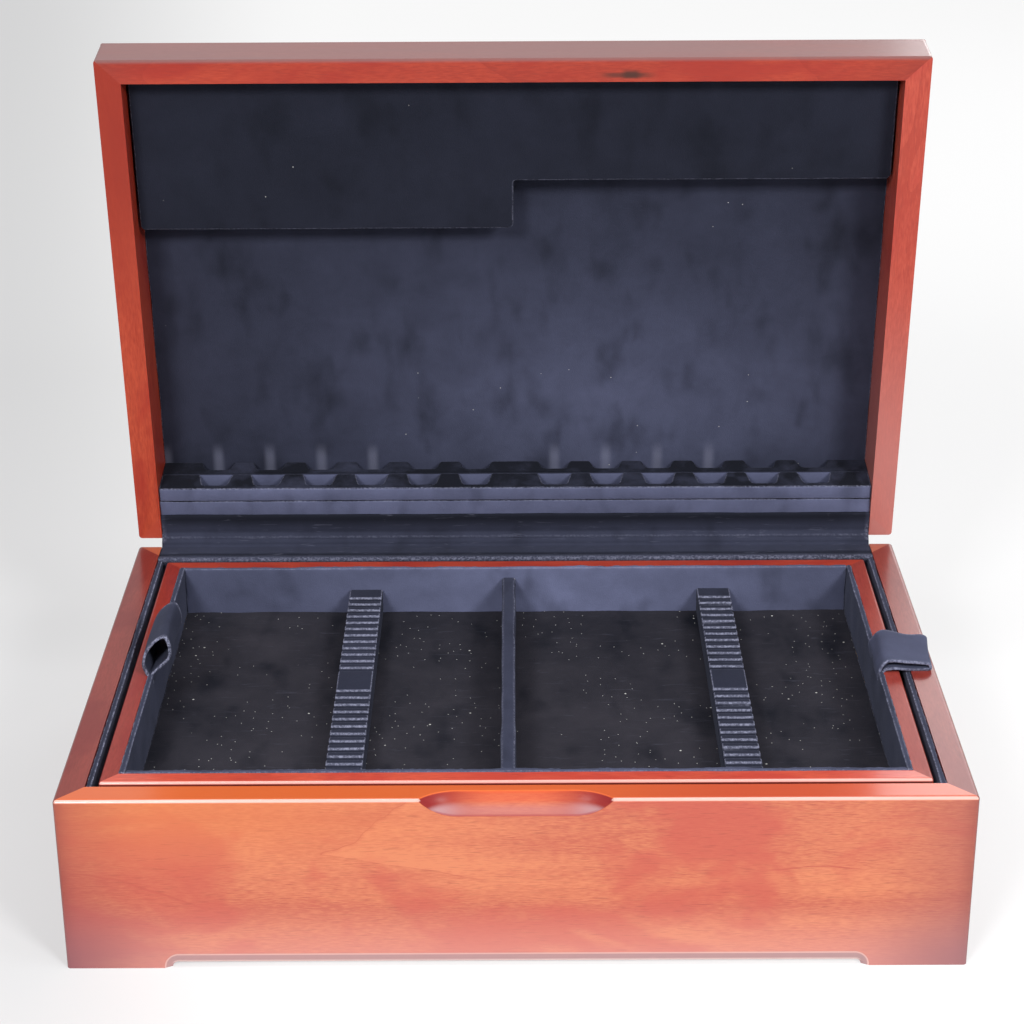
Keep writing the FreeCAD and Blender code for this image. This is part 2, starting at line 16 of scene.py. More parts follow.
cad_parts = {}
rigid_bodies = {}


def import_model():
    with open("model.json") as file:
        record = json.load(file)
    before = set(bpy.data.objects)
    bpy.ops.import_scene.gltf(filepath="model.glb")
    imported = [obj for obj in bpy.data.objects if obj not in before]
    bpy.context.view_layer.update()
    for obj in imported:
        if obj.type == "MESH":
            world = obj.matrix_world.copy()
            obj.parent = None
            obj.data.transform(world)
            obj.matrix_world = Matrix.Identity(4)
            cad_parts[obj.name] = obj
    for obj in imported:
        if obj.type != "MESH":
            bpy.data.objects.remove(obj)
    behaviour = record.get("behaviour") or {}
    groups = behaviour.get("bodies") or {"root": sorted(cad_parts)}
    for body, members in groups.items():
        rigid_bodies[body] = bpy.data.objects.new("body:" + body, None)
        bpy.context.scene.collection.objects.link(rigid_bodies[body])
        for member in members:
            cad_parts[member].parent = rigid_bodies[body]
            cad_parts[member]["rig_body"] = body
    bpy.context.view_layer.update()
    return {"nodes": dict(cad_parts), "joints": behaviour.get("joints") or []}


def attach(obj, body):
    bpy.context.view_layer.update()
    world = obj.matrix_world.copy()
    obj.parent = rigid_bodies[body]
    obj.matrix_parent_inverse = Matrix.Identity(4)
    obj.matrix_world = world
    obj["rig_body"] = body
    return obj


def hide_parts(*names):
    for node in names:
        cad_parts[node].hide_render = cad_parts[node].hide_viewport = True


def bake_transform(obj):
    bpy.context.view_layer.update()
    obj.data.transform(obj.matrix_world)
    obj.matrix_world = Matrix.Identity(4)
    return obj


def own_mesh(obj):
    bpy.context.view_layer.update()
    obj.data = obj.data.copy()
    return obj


bl_info = {
    "name": "Cutlery box",
    "version": (1, 0, 0),
    "blender": (4, 5, 0),
    "location": "3D View > Sidebar > Cutlery box",
    "description": "Dresses the packed cutlery box in stained wood and navy velvet",
    "category": "Object",
}

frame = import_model()

MM = 0.001
JOINTS = {joint["name"]: joint for joint in frame["joints"]}
PIN = np.array(JOINTS["lid_hinge"]["pos_m"]) / MM
SWING = math.radians(JOINTS["lid_hinge"]["range_deg"][1])


# ---- Settings -------------------------------------------------------------------------------


class CutleryBoxSizes(bpy.types.PropertyGroup):
    """Sizes of the velvet pieces, in millimetres."""

    board_round: FloatProperty(
        name="Board rounding", description="Radius of a velvet-wrapped board's edges",
        default=1.1, min=0.2, max=1.4)
    board_unevenness: FloatProperty(
        name="Board unevenness", description="How far the velvet's surface wanders",
        default=0.22, min=0.0, max=1.0)
    fuzz_height: FloatProperty(
        name="Fuzz height", description="How far the tray's velvet stands above its bars",
        default=0.9)
    fray: FloatProperty(
        name="Fray", description="How far the velvet's edges stand up in tufts", default=0.3)
    rack_slots: IntProperty(
        name="Rack slots", description="Slots in each of a rack's two groups", default=12, min=1)
    slot_pitch: FloatProperty(
        name="Slot pitch", description="Distance from one rack slot to the next", default=8.2)
    slot_width: FloatProperty(
        name="Slot width", description="Width of a rack slot", default=3.2)
    slot_depth: FloatProperty(
        name="Slot depth", description="Depth of a rack slot", default=5.0)
    rack_block: FloatProperty(
        name="Rack block", description="Plain stretch between the two groups", default=19.2)
    rack_shift: FloatProperty(
        name="Rack pattern shift", description="How far the slots stand behind the middle",
        default=2.6)
    notch_first: FloatProperty(
        name="First notch", description="First knife place from the middle", default=24.2)
    notch_pitch: FloatProperty(
        name="Notch pitch", description="Distance from one knife place to the next",
        default=31.7)
    notch_count: IntProperty(
        name="Notches", description="Knife places on each side of the middle", default=6, min=1)
    notch_front: FloatProperty(
        name="Notch front width", description="Width of a knife place at its front",
        default=14.2)
    notch_rear: FloatProperty(
        name="Notch rear width", description="Width of a knife place at its rear",
        default=19.7)
    tape_thickness: FloatProperty(
        name="Tape thickness", description="Thickness of the pull tabs' velvet tape",
        default=1.5)
    cover_thickness: FloatProperty(
        name="Cover thickness", description="Thickness of the hinge cover's velvet",
        default=1.1)


class CutleryBoxColours(bpy.types.PropertyGroup):
    """Colours of the wood, velvet and metal."""

    wood_light: FloatVectorProperty(
        name="Light wood", description="The paler wood of the front and rear walls",
        subtype="COLOR", size=3, default=(0.55, 0.175, 0.082))
    wood_dark: FloatVectorProperty(
        name="Dark wood", description="The deeper wood of the front and rear walls",
        subtype="COLOR", size=3, default=(0.41, 0.09, 0.05))
    red_light: FloatVectorProperty(
        name="Light red wood", description="The paler wood of the lid and the tray",
        subtype="COLOR", size=3, default=(0.38, 0.045, 0.02))
    red_dark: FloatVectorProperty(
        name="Dark red wood", description="The deeper wood of the lid and the tray",
        subtype="COLOR", size=3, default=(0.27, 0.026, 0.013))
    wood_edge: FloatVectorProperty(
        name="Edge stain", description="The shaded stain at a board's ends",
        subtype="COLOR", size=3, default=(0.17, 0.028, 0.022))
    velvet_light: FloatVectorProperty(
        name="Brushed velvet", description="Velvet where the pile catches the light",
        subtype="COLOR", size=3, default=(0.135, 0.148, 0.25))
    velvet_deep: FloatVectorProperty(
        name="Deep velvet", description="Velvet seen down into its pile",
        subtype="COLOR", size=3, default=(0.008, 0.009, 0.014))
    # Paler rims: wear, and painted sheen where the fuzzy edges catch the light.
    velvet_wear_and_sheen: FloatVectorProperty(
        name="Worn velvet", description="The fuzzy, worn edges of the velvet",
        subtype="COLOR", size=3, default=(0.25, 0.26, 0.36))
    lint: FloatVectorProperty(
        name="Lint", description="Specks of lint on the velvet",
        subtype="COLOR", size=3, default=(0.75, 0.75, 0.72))
    brass: FloatVectorProperty(
        name="Brass", description="The hinges and their screws",
        subtype="COLOR", size=3, default=(0.72, 0.5, 0.22))
    board: FloatVectorProperty(
        name="Plain board", description="The unstained board under the floor",
        subtype="COLOR", size=3, default=(0.5, 0.33, 0.19))


class CutleryBoxView(bpy.types.PropertyGroup):
    """The camera."""

    camera_x: FloatProperty(name="Camera X", description="Right of the middle, mm", default=1.4)
    camera_y: FloatProperty(
        name="Camera Y", description="From the front of the box, mm", default=-1039.5)
    camera_z: FloatProperty(name="Camera height", description="Above the table, mm",
                            default=707.5)
    pitch: FloatProperty(
        name="Pitch", description="How far the camera looks down", subtype="ANGLE",
        default=math.radians(23.586))
    yaw: FloatProperty(
        name="Yaw", description="How far the camera turns right", subtype="ANGLE",
        default=math.radians(-0.141))
    roll: FloatProperty(
        name="Roll", description="How far the picture is turned", subtype="ANGLE",
        default=math.radians(0.316))
    focal: FloatProperty(
        name="Focal length", description="In pixels of the photograph", default=2416.7)


# ---- Places ---------------------------------------------------------------------------------

PICTURE = 1024
SENSOR = 36.0


def turned(points, angle):
    """Points turned about the hinge pins: y' = y cos - z sin and z' = y sin + z cos."""
    across, up = points[..., 1] - PIN[1], points[..., 2] - PIN[2]
    out = points.copy()
    out[..., 1] = PIN[1] + across * math.cos(angle) - up * math.sin(angle)
    out[..., 2] = PIN[2] + across * math.sin(angle) + up * math.cos(angle)
    return out


def node_box(name):
    """The lowest and highest corner of a solid, in mm, with a lid piece shut first."""
    mesh = frame["nodes"][name].data
    points = np.zeros(len(mesh.vertices) * 3, np.float32)
    mesh.vertices.foreach_get("co", points)
    points = points.reshape(-1, 3).astype(float) / MM
    if frame["nodes"][name]["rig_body"] == "lid":
        points = turned(points, SWING)
    return points.min(0), points.max(0)


# ---- Shapes ---------------------------------------------------------------------------------


def ripple(points, size, seed):
    """Smooth unevenness, about -1 to 1: the sum of eight sine waves in random directions."""
    dice = np.random.default_rng(seed)
    ways = dice.normal(size=(8, 3))
    ways /= np.linalg.norm(ways, axis=1, keepdims=True)
    lengths = size * dice.uniform(0.7, 1.7, 8)
    phases = dice.uniform(0, 2 * np.pi, 8)
    waves = np.sin(points @ (ways / lengths[:, None]).T * 2 * np.pi + phases)
    return waves.sum(1) / 3.2


def quads(rows, columns, start=0, close_rows=False, close_columns=False):
    """The four-sided faces of a grid of points that are numbered row by row."""
    i = np.arange(rows if close_rows else rows - 1)
    j = np.arange(columns if close_columns else columns - 1)
    i, j = (a.ravel() for a in np.meshgrid(i, j, indexing="ij"))
    i2, j2 = (i + 1) % rows, (j + 1) % columns
    corners = [i * columns + j, i2 * columns + j, i2 * columns + j2, i * columns + j2]
    return np.stack(corners, 1) + start


def rungs(low, high, radius, step):
    """Places along a board's side: at even angles round both edges, about step apart between."""
    arc = radius * np.tan(np.linspace(0, np.pi / 4, 4))
    count = max(2, int(round((high - low - 2 * radius) / step)) + 1)
    flat = np.linspace(low + radius, high - radius, count)
    return np.concatenate([low + radius - arc[:0:-1], flat, high - radius + arc[1:]])


def welded(points, faces, extra):
    """Points that lie on one another made one, with the faces renumbered."""
    keys, first, place = np.unique(
        np.round(points * 1e4).astype(np.int64), axis=0, return_index=True, return_inverse=True)
    return points[first], place.ravel()[faces], extra[first]


def soft_board(low, high, radius, step, lift, seed, fray=0.0):
    """A wrapped board. Each point p of a box is taken to c + radius * (p - c) / |p - c|, where
    c is the nearest point of the box shrunk by radius, and is then lifted along that direction
    by a ripple, and on the edges by a finer one. The rim is 0 on the flats and 1 in the middle
    of a rounded edge."""
    low, high = np.array(low, float), np.array(high, float)
    places = [rungs(low[k], high[k], radius, step) for k in range(3)]
    points, faces, count = [], [], 0
    for axis in range(3):
        a, b = (axis + 1) % 3, (axis + 2) % 3
        for end in (low, high):
            u, v = np.meshgrid(places[a], places[b], indexing="ij")
            patch = np.empty(u.shape + (3,))
            patch[..., axis], patch[..., a], patch[..., b] = end[axis], u, v
            net = quads(*u.shape, count)
            faces.append(net if end is high else net[:, ::-1])
            points.append(patch.reshape(-1, 3))
            count += u.size
    points, faces = np.concatenate(points), np.concatenate(faces)
    core = np.clip(points, low + radius, high - radius)
    away = points - core
    away /= np.linalg.norm(away, axis=1, keepdims=True)
    rim = (1 - np.abs(away).max(1)) / (1 - math.sqrt(0.5))
    wave = lift * ripple(points, 23.0, seed) + fray * rim * ripple(points, 4.5, seed + 1)
    points = core + away * (radius + wave[:, None])
    points, faces, rim = welded(points, faces, rim)
    return points, [tuple(f) for f in faces], rim


def rounded(corners, radii, steps=5):
    """A closed outline with an arc in each corner. The arc's middle lies on the corner's
    bisector, radius / sin(half the corner's angle) from the corner."""
    corners, out = np.array(corners, float), []
    for k, radius in enumerate(radii):
        here = corners[k]
        back = corners[k - 1] - here
        ahead = corners[(k + 1) % len(corners)] - here
        back /= np.linalg.norm(back)
        ahead /= np.linalg.norm(ahead)
        half = math.acos(np.clip(back @ ahead, -1, 1)) / 2
        if radius <= 0 or half > 1.5:
            out.append(here[None])
            continue
        middle = here + (back + ahead) / np.linalg.norm(back + ahead) * radius / math.sin(half)
        first = here + back * radius / math.tan(half) - middle
        last = here + ahead * radius / math.tan(half) - middle
        t = np.linspace(0, 1, steps)[:, None]
        arc = first * (1 - t) + last * t
        arc *= radius / np.linalg.norm(arc, axis=1, keepdims=True)
        out.append(middle + arc)
    return np.concatenate(out)


def refined(outline, step):
    """An outline with its long straight runs cut into lengths of about step."""
    ends = np.roll(outline, -1, axis=0)
    runs = [a + (b - a) * np.arange(n)[:, None] / n
            for a, b, n in zip(outline, ends,
                               np.maximum(1, np.round(np.linalg.norm(ends - outline, axis=1)
                                                      / step)).astype(int))]
    return np.concatenate(runs)


def moulded_board(outline, low, high, radius, axes, lift, seed):
    """A board cut to an outline, with rounded edges. Ring by ring the outline shrinks along its
    corners' bisectors by radius * (1 - sin t) while the height goes from low by
    radius * (1 - cos t), up the lower edge and down the upper one."""
    before = outline - np.roll(outline, 1, axis=0)
    after = np.roll(outline, -1, axis=0) - outline
    sides = [np.stack([-d[:, 1], d[:, 0]], 1) / np.linalg.norm(d, axis=1, keepdims=True)
             for d in (before, after)]
    inward = (sides[0] + sides[1]) / (1 + (sides[0] * sides[1]).sum(1, keepdims=True))
    turns = np.linspace(0, np.pi / 2, 4)
    insets = radius * (1 - np.sin(turns))
    rises = radius * (1 - np.cos(turns))
    flat = 0.25
    insets = np.concatenate([[radius + flat], insets, insets[::-1], [radius + flat]])
    heights = np.concatenate([[low], low + rises, high - rises[::-1], [high]])
    edge = np.sin(2 * turns)
    rim = np.concatenate([[0], edge, edge[::-1], [0]])
    rings = outline[None] + inward[None] * insets[:, None, None]
    points = np.empty((len(insets), len(outline), 3))
    points[..., axes[0]], points[..., axes[1]] = rings[..., 0], rings[..., 1]
    points[..., axes[2]] = heights[:, None]
    points = points.reshape(-1, 3)
    n, m = len(insets), len(outline)
    faces = [tuple(f) for f in quads(n, m, 0, close_columns=True)]
    faces.append(tuple(range(m)))
    faces.append(tuple(range((n - 1) * m, n * m))[::-1])
    wave = ripple(points, 17.0, seed)
    for k in range(2):
        points[:, axes[k]] += lift * wave * (0.6 if k else -0.5)
    return points, faces, np.repeat(rim, m)


def smooth_path(keys, count):
    """A smooth curve through key points: cubic Hermite pieces whose slope at a key is half the
    step from the key before it to the key after it."""
    keys = np.array(keys, float)
    slopes = np.gradient(keys, axis=0)
    t = np.linspace(0, len(keys) - 1, count)
    k = np.minimum(t.astype(int), len(keys) - 2)
    s = (t - k)[:, None]
    return (keys[k] * (1 + 2 * s) * (1 - s) ** 2 + slopes[k] * s * (1 - s) ** 2
            + keys[k + 1] * s ** 2 * (3 - 2 * s) + slopes[k + 1] * s ** 2 * (s - 1))


def strip(path, thickness):
    """A closed band round a path in a plane: the path moved half a thickness to one side, and
    back along the other side, with a half round at each end."""
    step = np.gradient(path, axis=0)
    side = np.stack([-step[:, 1], step[:, 0]], 1)
    side /= np.linalg.norm(side, axis=1, keepdims=True)
    half = np.broadcast_to(thickness, len(path))[:, None] / 2
    tip = path[-1] + step[-1] / np.linalg.norm(step[-1]) * half[-1] * 0.8
    tail = path[0] - step[0] / np.linalg.norm(step[0]) * half[0] * 0.8
    return np.concatenate([path + side * half, tip[None], (path - side * half)[::-1],
                           tail[None]])


def solid_volume(points, faces):
    """Six times the volume inside the faces: the sum of p0 . (p1 x p2) over their triangles."""
    total = 0.0
    for f in faces:
        corner = points[list(f)]
        total += (corner[0] * np.cross(corner[1:-1], corner[2:])).sum()
    return total


def make_piece(name, shape, material, body, nodes, shut_lid=False):
    """A piece from points in mm, faces and a rim value for each point."""
    points, faces, rim = shape
    if solid_volume(points, faces) < 0:
        faces = [f[::-1] for f in faces]
    if shut_lid:
        points = turned(points, -SWING)
    mesh = bpy.data.meshes.new(name)
    mesh.from_pydata((points * MM).tolist(), [], faces)
    mesh.polygons.foreach_set("use_smooth", np.ones(len(mesh.polygons), bool))
    mesh.attributes.new("rim", "FLOAT", "POINT").data.foreach_set(
        "value", np.asarray(rim, np.float32))
    mesh.materials.append(material)
    mesh.update()
    piece = bpy.data.objects.new(name, mesh)
    bpy.context.scene.collection.objects.link(piece)
    if body:
        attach(piece, body)
    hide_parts(*nodes)
    return piece


# ---- Finishes -------------------------------------------------------------------------------


class Wire:
    """A number flowing between nodes. Arithmetic on wires adds Math nodes."""

    def __init__(self, finish, socket):
        self.finish, self.socket = finish, socket

    def math(self, operation, other=None, clamp=False):
        inputs = {0: self} if other is None else {0: self, 1: other}
        return self.finish.wire("ShaderNodeMath",
                                {"operation": operation, "use_clamp": clamp}, inputs)

    def swapped(self, operation, other):
        return self.finish.wire("ShaderNodeMath", {"operation": operation}, {0: other, 1: self})

    def __add__(self, other):
        return self.math("ADD", other)

    def __sub__(self, other):
        return self.math("SUBTRACT", other)

    def __mul__(self, other):
        return self.math("MULTIPLY", other)

    def __truediv__(self, other):
        return self.math("DIVIDE", other)

    def __pow__(self, other):
        return self.math("POWER", other)

    def __rsub__(self, other):
        return self.swapped("SUBTRACT", other)

    def __rtruediv__(self, other):
        return self.swapped("DIVIDE", other)

    __radd__ = __add__
    __rmul__ = __mul__

    def size(self):
        return self.math("ABSOLUTE")

    def part(self):
        return self.math("FRACT")

    def step(self, low, high):
        """0 below low and 1 above high, or the other way round, with a smooth rise."""
        rising = low < high
        return self.finish.wire(
            "ShaderNodeMapRange", {"interpolation_type": "SMOOTHSTEP"},
            {"Value": self, "From Min": min(low, high), "From Max": max(low, high),
             "To Min": 0.0 if rising else 1.0, "To Max": 1.0 if rising else 0.0})


class Finish:
    """One material's nodes, ending in a Principled shader."""

    def __init__(self, name, **constants):
        self.material = bpy.data.materials.new(name)
        self.material.use_nodes = True
        self.tree = self.material.node_tree
        self.tree.nodes.clear()
        self.shader = self.node("ShaderNodeBsdfPrincipled", {}, constants)
        self.node("ShaderNodeOutputMaterial", {}, {"Surface": self.out(self.shader)})

    def node(self, kind, settings, inputs):
        """A node with its settings, then the values or wires of its sockets."""
        node = self.tree.nodes.new(kind)
        for key, value in settings.items():
            if key == "stops":
                ramp = node.color_ramp.elements
                while len(ramp) < len(value):
                    ramp.new(0.5)
                for element, (place, colour) in zip(ramp, value):
                    element.position, element.color = place, (*colour, 1.0)
            else:
                setattr(node, key, value)
        for key, value in inputs.items():
            if isinstance(value, Wire):
                self.tree.links.new(value.socket, node.inputs[key])
            else:
                node.inputs[key].default_value = value
        return node

    def out(self, node, socket=0):
        return Wire(self, node.outputs[socket])

    def wire(self, kind, settings, inputs, socket=0):
        return self.out(self.node(kind, settings, inputs), socket)

    def place(self):
        """Object coordinates, in metres."""
        return self.wire("ShaderNodeTexCoord", {}, {}, "Object")

    def moved(self, vector, location=(0, 0, 0), rotation=(0, 0, 0), scale=(1, 1, 1)):
        return self.wire("ShaderNodeMapping", {}, {"Vector": vector, "Location": location,
                                                   "Rotation": rotation, "Scale": scale})

    def axes(self, vector):
        parts = self.node("ShaderNodeSeparateXYZ", {}, {"Vector": vector})
        return [self.out(parts, k) for k in range(3)]

    def noise(self, vector, scale, detail=2.0, roughness=0.5, distortion=0.0):
        return self.wire("ShaderNodeTexNoise", {},
                         {"Vector": vector, "Scale": scale, "Detail": detail,
                          "Roughness": roughness, "Distortion": distortion})

    def mix(self, factor, first, second):
        node = self.node("ShaderNodeMix", {"data_type": "RGBA"}, {})
        for key, value in ((0, factor), (6, first), (7, second)):
            if isinstance(value, Wire):
                self.tree.links.new(value.socket, node.inputs[key])
            elif key == 0:
                node.inputs[key].default_value = value
            else:
                node.inputs[key].default_value = (*value, 1.0)
        return self.out(node, 2)

    def feed(self, **wires):
        for name, wire in wires.items():
            self.tree.links.new(wire.socket, self.shader.inputs[name.replace("_", " ")])

    def bump(self, height, strength, distance):
        self.feed(Normal=self.wire("ShaderNodeBump", {}, {
            "Height": height, "Strength": strength, "Distance": distance}))


def shut_place(finish):
    """Object coordinates of a lid piece, turned back to where it is with the lid shut."""
    pin = Vector(PIN * MM)
    home = pin - Matrix.Rotation(SWING, 3, "X") @ pin
    return finish.moved(finish.place(), location=home, rotation=(SWING, 0, 0))


def stained_wood(name, along="x", in_lid=False, light=None, dark=None, figure=1.0,
                 shade=(), flame=None, curves=(), matt=(), coat=0.7, seed=0.0):
    """Fine-grained wood under red-brown stain and satin lacquer. Growth lines are the contours
    of a slow noise stretched along the grain, flecks are a fast noise stretched along it, and
    each shade tints the part of the board that its steps along X, Y and Z leave over. A flame is the wedge right of a tip,
    where x - tip - max(rise * (z - z0), fall * (z0 - z)) is above 0, and a curve is a growth
    line along z = z0 - bend * (x - x0)^2 between two ends. The lacquer is left out where matt's
    steps are all 1."""
    colours = bpy.context.scene.cutlery_box_colours
    light, dark = light or tuple(colours.red_light), dark or tuple(colours.red_dark)
    finish = Finish(name, Roughness=0.3, **{"Coat Weight": coat, "Coat Roughness": 0.16,
                                            "Coat IOR": 1.5, "Specular IOR Level": 0.12})
    place = shut_place(finish) if in_lid else finish.place()
    parts = finish.axes(place)
    board = place
    if along == "y":
        board = finish.moved(place, rotation=(0, 0, -math.pi / 2))
    board = finish.moved(board, location=(seed, seed * 0.37, seed * 0.61))
    slow = finish.noise(finish.moved(board, scale=(2.3, 9.0, 9.0)), 1.0, 2.5, 0.5, 0.5)
    in_ring = (slow * 5.0).part()
    line = in_ring.step(0.955, 1.0)
    cloud = finish.noise(finish.moved(board, scale=(5.0, 42.0, 42.0)), 1.0, 3.0, 0.6, 0.3)
    band = finish.noise(finish.moved(board, scale=(1.6, 60.0, 60.0)), 1.0, 2.0, 0.5, 0.2)
    fleck = finish.noise(finish.moved(board, scale=(190.0, 1250.0, 1250.0)), 1.0, 2.0, 0.6)
    pore = finish.noise(finish.moved(board, scale=(95.0, 1900.0, 1900.0)), 1.0, 1.0, 0.5)
    depth = (in_ring ** 2.5 * (0.22 * figure) + line * (0.22 * figure) + (cloud - 0.5) * 1.6
             + (band - 0.5) * 1.2 + (fleck - 0.5) * 1.9 + 0.42)
    if flame:
        wander = finish.noise(finish.moved(place, scale=(30.0, 1.0, 34.0)), 1.0, 2.0, 0.5) - 0.5
        tip_x, tip_z, rise, fall, fade = flame
        reach = parts[0] / MM + wander * 55.0 - tip_x
        height = parts[2] / MM - wander * 6.0 - tip_z
        field = reach - (height * rise).math("MAXIMUM", height * -fall)
        inside = field.step(-1.0, 5.0) * reach.step(fade, fade * 0.35)
        edge = field.size().step(0.9, 0.1) * reach.step(fade * 0.9, fade * 0.5)
        depth = depth - inside * 0.45 + edge * 0.7
        for x0, z0, bend, start, end in curves:
            x = parts[0] / MM
            off = parts[2] / MM + wander * 8.0 - z0 + (x - x0) ** 2.0 * bend
            near = x.step(start - 3.0, start + 6.0) * x.step(end + 3.0, end - 6.0)
            depth = depth + off.size().step(0.8, 0.1) * near * 0.7
    colour = finish.mix(depth.math("MULTIPLY", 1.0, clamp=True), light, dark)
    blotch = finish.noise(finish.moved(board, scale=(13.0, 24.0, 24.0)), 1.0, 3.0, 0.55, 0.6)
    colour = finish.mix(blotch.step(0.46, 0.62) * 0.72, colour,
                        (dark[0] * 1.02, dark[1] * 0.72, dark[2] * 0.88))
    colour = finish.mix(pore.step(0.60, 0.72) * 0.3, colour, tuple(colours.wood_edge))
    # These tints carry stain, and also painted reflections, highlights and shadows.
    for steps, amount, tint in shade:
        part = ((cloud - 0.5) * 0.5 + 1.0) * amount
        for axis, low, high in steps:
            part = part * parts[axis].step(low * MM, high * MM)
        colour = finish.mix(part.math("MULTIPLY", 1.0, clamp=True), colour, tuple(tint))
    finish.feed(Base_Color=colour, Roughness=fleck * 0.12 + 0.28)
    if matt:
        bare = 1.0
        for axis, low, high in matt:
            bare = parts[axis].step(low * MM, high * MM) * bare
        finish.feed(Coat_Weight=(1.0 - bare) * coat)
    finish.bump(fleck * 0.6 + pore * 0.4, 0.1, 0.0002)
    return finish.material


def velvet(name, tone=0.3, in_lid=False, nap=(0, 0, 1), nap_painted_shade=0.0, lint=0.0, rim=1.0,
           streaks=0.0, mottle=1.0, painted_light_pool=None, notches=None, light=None, tufts=0.92,
           sheen=0.06, seed=0.0):
    """Short-pile velvet. Tone is how much of the pile catches the light; the pieces get different tones
    by the way they face and lie, painted light and shade with the nap as part of the cause. Slow
    noises vary it as if crushed, as strongly as mottle says, and a painted patch of light brightens
    it round one place by amount / (1 + (dx / rx)^2 + (dy / ry)^2). Rims are paler, in tufts, for
    wear and painted sheen, lint lies where a cell pattern's points are near, and knives leave a pale
    streak behind some notches. Where the rim attribute is below 0 the pile is darker: painted shade
    in creases and grooves. Faces turned along nap can be darkened too, as painted shade."""
    colours = bpy.context.scene.cutlery_box_colours
    finish = Finish(name, Roughness=0.85, **{
        "Sheen Weight": sheen, "Sheen Roughness": 0.45, "Sheen Tint": (0.7, 0.75, 1.0, 1.0),
        "Specular IOR Level": 0.05})
    home = shut_place(finish) if in_lid else finish.place()
    place = finish.moved(home, location=(seed, seed * 0.7, seed * 0.3))
    crush = finish.noise(place, 30.0, 5.0, 0.66, 0.25)
    patch = finish.noise(place, 8.0, 2.0, 0.5, 0.3)
    scuff = finish.noise(finish.moved(place, scale=(48.0, 24.0, 34.0)), 1.0, 2.0, 0.5, 0.2)
    pile = finish.noise(place, 1500.0, 2.0, 0.7)
    share = ((crush - 0.5) * (0.9 * mottle) + (patch - 0.5) * (0.9 * mottle)
             + (pile - 0.5) * 0.2 + 1.0 - scuff.step(0.48, 0.8) * (0.42 * mottle)) * tone
    # Painted light: a patch of light round one place, fading outwards.
    if painted_light_pool:
        x, y, z = finish.axes(home)
        x0, y0, rx, ry, amount = painted_light_pool
        away = ((x / MM - x0) / rx) ** 2.0 + ((y / MM - y0) / ry) ** 2.0 + 1.0
        share = share + (0.8 * (crush - 0.5) + 1.0 - scuff.step(0.48, 0.8) * 0.5) * amount / away
    # Painted shade: faces turned along nap are darkened, for the pile seen on end.
    if nap_painted_shade:
        facing = finish.wire("ShaderNodeVectorMath", {"operation": "DOT_PRODUCT"},
                             {0: finish.wire("ShaderNodeNewGeometry", {}, {}, "True Normal"),
                              1: nap}, "Value")
        share = share - facing.step(0.3, 0.9) * nap_painted_shade
    # The rim attribute: above 0 paler rims, for wear and painted sheen; below 0 painted shade.
    wear_sheen_and_shade = finish.wire("ShaderNodeAttribute", {"attribute_name": "rim"}, {}, "Fac")
    share = share * (wear_sheen_and_shade.math("MINIMUM", 0.0) + 1.0)
    colour = finish.mix(share.math("MULTIPLY", 1.0, clamp=True), colours.velvet_deep,
                        light or colours.velvet_light)
    fuzz = finish.noise(place, 700.0, 3.0, 0.75)
    wear_sheen_and_shade = wear_sheen_and_shade.math("MAXIMUM", 0.0) * (fuzz.step(0.40, 0.64) * tufts + (1.0 - tufts)) * rim
    colour = finish.mix(wear_sheen_and_shade.math("MULTIPLY", 1.0, clamp=True), colour,
                        tuple(colours.velvet_wear_and_sheen))
    if notches:
        x, y, z = finish.axes(home)
        first, pitch, rear, left_from, right_to = notches
        across = ((x.size() / MM - first) / pitch + 0.5).part() - 0.5
        width = across.size().step(0.15, 0.02)
        length = (y / MM).step(rear - 15.0, rear - 3.0)
        worn_here = ((x / MM).step(left_from + 8.0, left_from - 8.0)
                     + (x / MM).step(8.0, 22.0) * (x / MM).step(right_to + 8.0, right_to - 8.0))
        colour = finish.mix(width * length * worn_here * 0.26, colour,
                            tuple(colours.velvet_wear_and_sheen))
    if streaks:
        hair = finish.noise(finish.moved(place, scale=(60.0, 620.0, 620.0)), 1.0, 2.0, 0.6, 1.0)
        colour = finish.mix(hair.step(0.62, 0.74) * streaks, colour, tuple(colours.velvet_wear_and_sheen))
    if lint:
        drift = (finish.noise(place, 19.0, 2.0, 0.6) - 0.45).math("MAXIMUM", 0.0) * 6.0
        for size, scale, share_of in ((0.028, 120.0, lint), (0.022, 45.0, lint * 0.35)):
            cells = finish.node("ShaderNodeTexVoronoi", {"voronoi_dimensions": "2D"},
                                {"Vector": place, "Scale": scale})
            chance = finish.axes(finish.out(cells, "Color"))[0]
            dot = finish.out(cells, "Distance").step(size * 1.5, size * 0.6)
            kept = (chance - 1.0 + drift * share_of).step(0.0, 0.02)
            colour = finish.mix(dot * kept * 0.75, colour, tuple(colours.lint))
    finish.feed(Base_Color=colour)
    finish.bump(pile + crush * 0.6, 0.4, 0.0005)
    return finish.material


def plain_board(name):
    """Unstained board: a pale brown with soft grain along X."""
    colours = bpy.context.scene.cutlery_box_colours
    finish = Finish(name, Roughness=0.7)
    place = finish.place()
    grain = finish.noise(finish.moved(place, scale=(6.0, 90.0, 90.0)), 1.0, 4.0, 0.6, 0.6)
    fleck = finish.noise(finish.moved(place, scale=(120.0, 1500.0, 1500.0)), 1.0, 2.0, 0.6)
    depth = (grain - 0.5) * 1.4 + (fleck - 0.5) * 0.5 + 0.4
    dark = tuple(c * 0.55 for c in colours.board)
    finish.feed(Base_Color=finish.mix(depth.math("MULTIPLY", 1.0, clamp=True),
                                      colours.board, dark))
    finish.bump(fleck, 0.2, 0.0002)
    return finish.material


